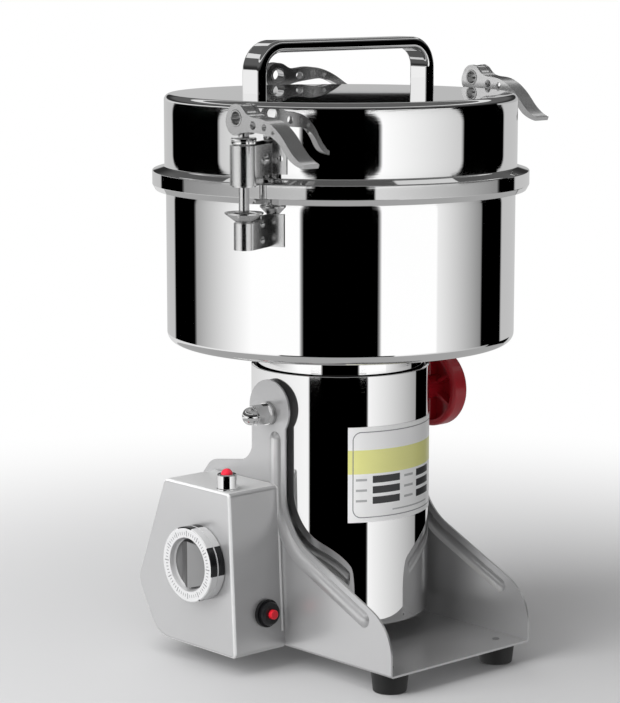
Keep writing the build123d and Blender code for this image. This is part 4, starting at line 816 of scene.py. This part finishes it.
class BuildTimerKnob(bpy.types.Operator):
    """Timer knob: a two-step skirt, a dished face and a gabled grip across it"""
    bl_idname = "grinder.timer_knob"
    bl_label = "Timer knob"

    def execute(self, context):
        low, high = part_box("timer_knob")
        size = sizes()
        radius, deep = (high.z - low.z) / 2, high.x - low.x
        groove, half = 0.35 * MM, deep / 2
        bore, hollow, skirt = 3.1 * MM, 4 * MM, 3 * MM
        recess, floor = size.knob_recess, deep - size.knob_depth
        outline = rounded([(bore, hollow), (radius - skirt, hollow), (radius - skirt, 0), (radius, 0),
                           (radius, half - groove), (radius - groove, half - groove / 2),
                           (radius - groove, half + groove / 2), (radius, half + groove),
                           (radius, deep, 0.9 * MM), (recess + 1.2 * MM, deep, 0.5 * MM),
                           (recess, floor, 3.5 * MM), (0.5 * MM, floor), (0.5 * MM, floor - 1 * MM),
                           (bore, floor - 1 * MM)], 6)
        knob = turned("timer_knob_skirt", outline, 128)
        grip = self.grip(floor - 0.3 * MM, deep - 0.2 * MM, recess)
        knob = joined(knob, grip)
        middle = (low + high) / 2
        set_along(knob, (high.x, middle.y, middle.z), (-1, 0, 0))
        dressed(knob, "timer_dial", "knob_silver", "timer_knob", smooth=38)
        return {"FINISHED"}

    def grip(self, foot, top, recess):
        """Gable that fills the recess: wide at its foot, a narrow ridge at the top."""
        size, long = sizes(), 2 * recess - 1.6 * MM
        calm()
        bpy.ops.mesh.primitive_cube_add(size=1, location=(0, 0, (foot + top) / 2))
        grip = bpy.context.object
        grip.scale = (size.knob_grip, long, top - foot)
        shaping(settled(grip))
        pick(grip, lambda place: place.z > (foot + top) / 2)
        bpy.ops.transform.resize(value=(0.10, 0.97, 1), center_override=(0, 0, top))
        pick(grip, lambda place: place.z < (foot + top) / 2)
        bpy.ops.transform.resize(value=(1, 0.78, 1), center_override=(0, 0, foot))
        bpy.ops.object.mode_set(mode="OBJECT")
        return softened(grip, 0.5 * MM, 3)


class BuildLamp(bpy.types.Operator):
    """Pilot lamp: chrome ring with a thin flange, and its clear red dome"""
    bl_idname = "grinder.lamp"
    bl_label = "Pilot lamp"

    def execute(self, context):
        low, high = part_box("lamp_bezel")
        axis, radius, bore = centre_of("lamp_bezel").xy, radius_of("lamp_bezel"), sizes().lamp_bore
        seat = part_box("control_box")[1].z
        thread, ring = 5.5 * MM, radius - 0.4 * MM
        outline = rounded([(bore, low.z), (thread, low.z), (thread, seat), (radius, seat),
                           (radius, seat + 1.2 * MM, 0.3 * MM), (ring, seat + 1.6 * MM),
                           (ring, high.z, 1.0 * MM), (bore, high.z, 0.3 * MM)], 5)
        dressed(turned("lamp_ring", outline, 64, axis), "stand", "lamp_chrome", "lamp_bezel")
        lens_low, lens_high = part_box("lamp_lens")
        rim, rise = radius_of("lamp_lens"), lens_high.z - high.z
        ball = rim * rim / (2 * rise) + rise / 2
        dome = [(rim, lens_low.z), (rim, high.z)]
        for step in range(1, 9):
            out = rim * (1 - step / 8) + 0.15 * MM
            dome.append((out, lens_high.z - ball + (ball * ball - out * out) ** 0.5))
        dressed(turned("lamp_dome", dome, 48, axis, closed=False), "stand", "lamp_red", "lamp_lens")
        return {"FINISHED"}


class BuildFeet(bpy.types.Operator):
    """Rubber feet: one is turned and the other three are copies of it"""
    bl_idname = "grinder.feet"
    bl_label = "Feet"

    def execute(self, context):
        low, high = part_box("rubber_feet")
        top, bottom, tall = 13.5 * MM, 11.8 * MM, high.z - low.z
        bore, well, deep = 2.65 * MM, 4.75 * MM, 5 * MM
        outline = rounded([(well, low.z, 0.4 * MM), (bottom, low.z, 1.2 * MM), (top, low.z + tall, 0.4 * MM),
                           (bore, low.z + tall), (bore, low.z + deep), (well, low.z + deep)], 5)
        feet = []
        for x in (low.x + top, high.x - top):
            for y in (low.y + top, high.y - top):
                if feet:
                    foot = linked("foot", feet[0].data.copy())
                    foot.location = (x - low.x - top, y - low.y - top, 0)
                else:
                    foot = turned("foot", outline, 64, (x, y))
                feet.append(settled(foot))
        dressed(joined(*feet), "stand", "foot_rubber", "rubber_feet")
        return {"FINISHED"}


class BuildLatches(bpy.types.Operator):
    """The three cam latches: lever, rod, tubular pin and pressure cap"""
    bl_idname = "grinder.latches"
    bl_label = "Latches"

    def execute(self, context):
        for name in LATCHES:
            lever = softened(copied("lever_" + name + "_arm", "latch_lever_" + name), 0.7 * MM, 3)
            dressed(lever, "lever_" + name, "latch_steel", "latch_lever_" + name)
            rod = softened(copied("rod_" + name + "_bar", "latch_rod_" + name), 0.3 * MM)
            dressed(rod, "rod_" + name, "latch_steel", "latch_rod_" + name)
            self.pin(name)
            self.cap(name)
        return {"FINISHED"}

    def pin(self, name):
        node = "latch_pin_" + name
        joint = next(j for j in frame["joints"] if j["name"] == name + "_lever")
        along = Vector(joint["axis"])
        radius, bore, half = 5.6 * MM, 4.3 * MM, 7.1 * MM
        outline = rounded([(bore, -half, 0.3 * MM), (radius, -half, 0.4 * MM), (radius, half, 0.4 * MM),
                           (bore, half, 0.3 * MM)], 4)
        pin = set_along(turned("pin_" + name + "_tube", outline, 48), centre_of(node), along)
        dressed(pin, "rod_" + name, "lamp_chrome", node, finish=FINISHES["bright_screws"])

    def cap(self, name):
        node = "latch_cap_" + name
        low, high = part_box(node)
        radius, bore, middle, groove = radius_of(node), 3.8 * MM, (low.z + high.z) / 2, 0.3 * MM
        outline = rounded([(bore, low.z), (radius, low.z, 0.6 * MM), (radius, middle - groove),
                           (radius - 0.5 * MM, middle), (radius, middle + groove), (radius, high.z, 0.8 * MM),
                           (bore, high.z, 0.4 * MM)], 4)
        ring = turned("cap_" + name + "_ring", outline, 64, centre_of(node).xy)
        dressed(ring, "cap_" + name, "lamp_chrome", node)


SHAPED = (
    ("base_frame", "stand", "frame_paint", 0.45), ("control_box", "stand", "frame_paint", 0.0),
    ("cable_gland", "stand", "black_plastic", 0.3), ("pivot_washers", "stand", "plain_steel", 0.2),
    ("pivot_bolt", "pot", "lamp_chrome", 0.35), ("lock_knob", "lock", "knob_red", 0.7),
    ("neck_collar", "pot", "polished_steel", 0.0), ("latch_brackets", "lid", "latch_steel", 0.3),
    ("bracket_fasteners", "lid", "bright_screws", 0.2), ("bowl_catches", "pot", "latch_steel", 0.25),
    ("catch_rivets", "pot", "bright_screws", 0.0), ("rating_label", "pot", "label", 0.0))


class SoftenPieces(bpy.types.Operator):
    """Folded, cast and moulded pieces that start from the frame's own shape, with their edges eased"""
    bl_idname = "grinder.soft_edges"
    bl_label = "Frame, box and small pieces"

    def execute(self, context):
        for node, body, slot, edge in SHAPED:
            piece = copied(node + "_shaped", node)
            if edge:
                softened(piece, edge * MM)
            dressed(piece, body, slot, node)
        return {"FINISHED"}


# Stage

# White panels stand round the pot, with dark gaps between them.  Each panel runs from one angle to another,
# measured from the camera's side with left negative, and has a brightness at either end.
LEFT_PANELS = ((-110, -60, 0.4, 1.2), (-60, -25, 1.2, 1.2))
RIGHT_PANELS = ((25, 65, 1.2, 1.2), (65, 105, 1.0, 0.3))
REAR_PANELS = ((-180, -140, 0.6, 0.6), (130, 180, 0.6, 0.6))
BOWL_PANELS = LEFT_PANELS + RIGHT_PANELS + REAR_PANELS
LID_PANELS = ((-85, -25, 0.7, 1.2), (25, 85, 1.2, 0.7)) + REAR_PANELS
RING_PANELS = ((-110, -20, 0.3, 0.6), (20, 110, 0.8, 0.3)) + REAR_PANELS
MOTOR_PANELS = ((-180, -40, 0.7, 1.1), (35, 115, 1.1, 0.4), (150, 180, 0.6, 0.6))
HANDLE_PANELS = ((-180, -80, 0.5, 1.1), (-80, -30, 1.0, 0.3), (120, 180, 0.5, 0.5))
PANEL_EDGE = 1.0

# Heights where one ring of panels takes over from the next in the steel, and the lid's upright band.
LID_FOOT, LID_PEAK = (corner.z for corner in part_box("grinder_lid"))
LID_TOP = LID_PEAK + 1.3 * MM
RING_TOP, RING_FOOT = LID_FOOT + 15.7 * MM, LID_FOOT + 0.7 * MM
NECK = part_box("grinding_bowl")[0].z - 6.5 * MM
LID_BAND = (LID_FOOT + 18.7 * MM, LID_PEAK - 1 * MM)
LID_CORNER, BOWL_CORNER = 10 * MM, 6.5 * MM

# Slopes, as rise over run, at which a reflected ray meets the roof, the ceiling, the high screen, the floor
# and the dark patch far behind the pot.
ROOF_START, CEILING_START = (0.075, 0.12), (0.18, 0.34)
HIGH_SCREEN = (0.60, 0.78)
UNDERSIDE = -0.36
DARK_RISE, DARK_BEHIND, DARK = 0.0547, radians(178.1), 0.004

# Each lamp's name, place, size and power in watts
LAMPS = (("key", (-2.5, 0.3, 1.4), 2.0, 76.0), ("top", (-0.7, 0.1, 1.9), 1.4, 20.0),
         ("front", (-1.4, -1.8, 1.3), 1.4, 8.0), ("back", (0.9, 1.7, 1.8), 1.4, 10.0))
LAMP_AIM = Vector((0, 0, 0.2))
# The floor turns into the white backdrop between these distances from the pot.
FLOOR_FADE = (0.2, 0.85)


def around_stops(panels):
    """Ramp stops, from behind on the left round to behind on the right, for a ring of panels."""
    starts = {180} | {panel[0] for panel in panels}
    ends = {-180} | {panel[1] for panel in panels}
    stops = []
    for start, end, first, last in sorted(panels):
        stops += [(start, first)] if start in ends else [(start, 0.0), (start + PANEL_EDGE, first)]
        stops += [(end, last)] if end in starts else [(end - PANEL_EDGE, last), (end, 0.0)]
    return [((angle + 180) / 360, shade) for angle, shade in stops]


class BuildStage(bpy.types.Operator):
    """Pale floor, studio surroundings, lamps and the camera"""
    bl_idname = "grinder.stage"
    bl_label = "Stage"

    def execute(self, context):
        self.studio = context.scene.grinder_studio
        self.floor()
        self.surroundings()
        self.lamps()
        self.camera()
        context.scene.view_settings.view_transform = "Standard"
        return {"FINISHED"}

    def floor(self):
        """Pale floor that runs out to a white backdrop."""
        calm()
        bpy.ops.mesh.primitive_plane_add(size=60, location=(0, 0, 0))
        floor = bpy.context.object
        floor.name = "floor"
        material, finish = new_material("pale floor", Roughness=0.6)
        finish.surface(Base_Color=clouded(finish, self.studio.floor, 1.2, 0.02))
        x, y, _ = finish.parts(finish.place())
        far = ((x - POT_AXIS.x) * (x - POT_AXIS.x) + (y - POT_AXIS.y) * (y - POT_AXIS.y)) ** 0.5
        seen = finish.node("ShaderNodeLightPath", output=0)
        glow = finish.node("ShaderNodeEmission", None, opaque(self.studio.white), 1.0)
        lit = Value(finish, finish.tree.nodes["Principled BSDF"].outputs[0])
        blend = finish.node("ShaderNodeMixShader", None, far.eased(*FLOOR_FADE) * seen, lit, glow)
        finish.feed(finish.tree.nodes["Material Output"].inputs["Surface"], blend)
        floor.data.materials.append(material)
        floor.visible_glossy = False

    def surroundings(self):
        """A studio seen in the polished steel: white panels with dark gaps between, under a dark roof."""
        world = bpy.data.worlds.new("studio")
        bpy.context.scene.world = world
        world.use_nodes = True
        finish = Finish(world.node_tree)
        x, y, z = finish.parts(finish.node("ShaderNodeTexCoord", output=0))
        heading = self.studio.heading
        ahead = x * -sin(heading) + y * cos(heading)
        right = x * cos(heading) + y * sin(heading)
        angle = finish.maths("ARCTAN2", right, -ahead)
        climb = z / ((x * x + y * y) ** 0.5).at_least(0.001)
        reach = self.studio.distance - radius_of("grinding_bowl") * finish.maths("COSINE", angle / 2)
        level = climb * reach + self.studio.height

        def ring(panels, corner=None, depth=None):
            """A ring of panels as the steel shows it, swung aside where a rounded corner turns away."""
            swung = angle
            if corner:
                inward = (corner - depth).at_least(0.0)
                cut = corner - (corner * corner - inward * inward).at_least(0.0) ** 0.5
                swung = angle + finish.maths("SIGN", angle) * cut * (2 / radius_of("grinding_bowl"))
            stops = around_stops(panels)
            return finish.node("ShaderNodeValToRGB", {"stops": stops}, swung / (2 * pi) + 0.5)

        lid_depth = (LID_BAND[1] - level).at_most(level - LID_BAND[0])
        seen = ring(MOTOR_PANELS)
        seen = finish.mix(level > NECK, seen, ring(BOWL_PANELS, BOWL_CORNER, RING_FOOT - level))
        seen = finish.mix(level > RING_FOOT, seen, ring(RING_PANELS))
        seen = finish.mix(level > RING_TOP, seen, ring(LID_PANELS, LID_CORNER, lid_depth))
        seen = finish.mix(level > LID_TOP, seen, ring(HANDLE_PANELS))
        dark_patch = climb.within(DARK_RISE, ROOF_START[1]) * (abs(angle) > DARK_BEHIND)
        for where, brightness in ((climb.eased(*ROOF_START), self.studio.roof),
                                  (climb.eased(*CEILING_START), self.studio.ceiling),
                                  (climb.within(*HIGH_SCREEN), self.studio.high),
                                  (climb < UNDERSIDE, self.studio.under), (dark_patch, DARK)):
            seen = finish.mix(where, seen, opaque(grey(brightness)))
        straight, mirrored = (finish.node("ShaderNodeLightPath", output=i) for i in (0, 3))
        seen = finish.mix(mirrored, opaque(grey(self.studio.dome)), seen)
        background = world.node_tree.nodes["Background"]
        finish.feed(background.inputs["Color"], finish.mix(straight, seen, opaque(self.studio.white)))
        background.inputs["Strength"].default_value = 1.0

    def lamps(self):
        for name, place, size, power in LAMPS:
            data = bpy.data.lights.new(name, "AREA")
            data.size, data.energy = size, power
            lamp = linked(name, data)
            lamp.location = place
            lamp.rotation_euler = (LAMP_AIM - lamp.location).to_track_quat("-Z", "Y").to_euler()
            lamp.visible_glossy = False

    def camera(self):
        studio = self.studio
        data = bpy.data.cameras.new("camera")
        data.sensor_width, data.lens = 36.0, studio.focus / MM
        data.clip_start, data.clip_end = 0.05, 100
        camera = linked("camera", data)
        camera.location = (POT_AXIS.x + studio.distance * sin(studio.heading),
                           POT_AXIS.y - studio.distance * cos(studio.heading), studio.height)
        camera.rotation_euler = (pi / 2 - studio.fall, 0, studio.heading + studio.aside)
        bpy.context.scene.camera = camera


OPERATORS = (MixFinishes, FinishCarried, BuildBowl, BuildLid, BuildMotorShell, BuildHandle, BuildTimerKnob,
             BuildLamp, BuildFeet, BuildLatches, SoftenPieces, BuildStage)


class GrinderPanel(bpy.types.Panel):
    """Lists the sizes, the colours and the steps that build the grinder"""
    bl_idname = "VIEW3D_PT_spice_grinder"
    bl_label = "Spice Grinder"
    bl_space_type = "VIEW_3D"
    bl_region_type = "UI"
    bl_category = "Spice Grinder"

    def draw(self, context):
        for operator in OPERATORS:
            self.layout.operator(operator.bl_idname)
        for group, kind in GROUPS.items():
            column = self.layout.column()
            for field in kind.__annotations__:
                column.prop(getattr(context.scene, group), field)


CLASSES = tuple(GROUPS.values()) + OPERATORS + (GrinderPanel,)


def register():
    for cls in CLASSES:
        bpy.utils.register_class(cls)
    for name, group in GROUPS.items():
        setattr(bpy.types.Scene, name, bpy.props.PointerProperty(type=group))


def unregister():
    for name in GROUPS:
        delattr(bpy.types.Scene, name)
    for cls in reversed(CLASSES):
        bpy.utils.unregister_class(cls)


def main():
    register()
    for operator in OPERATORS:
        group, name = operator.bl_idname.split(".")
        getattr(getattr(bpy.ops, group), name)()


if __name__ == "__main__":
    main()
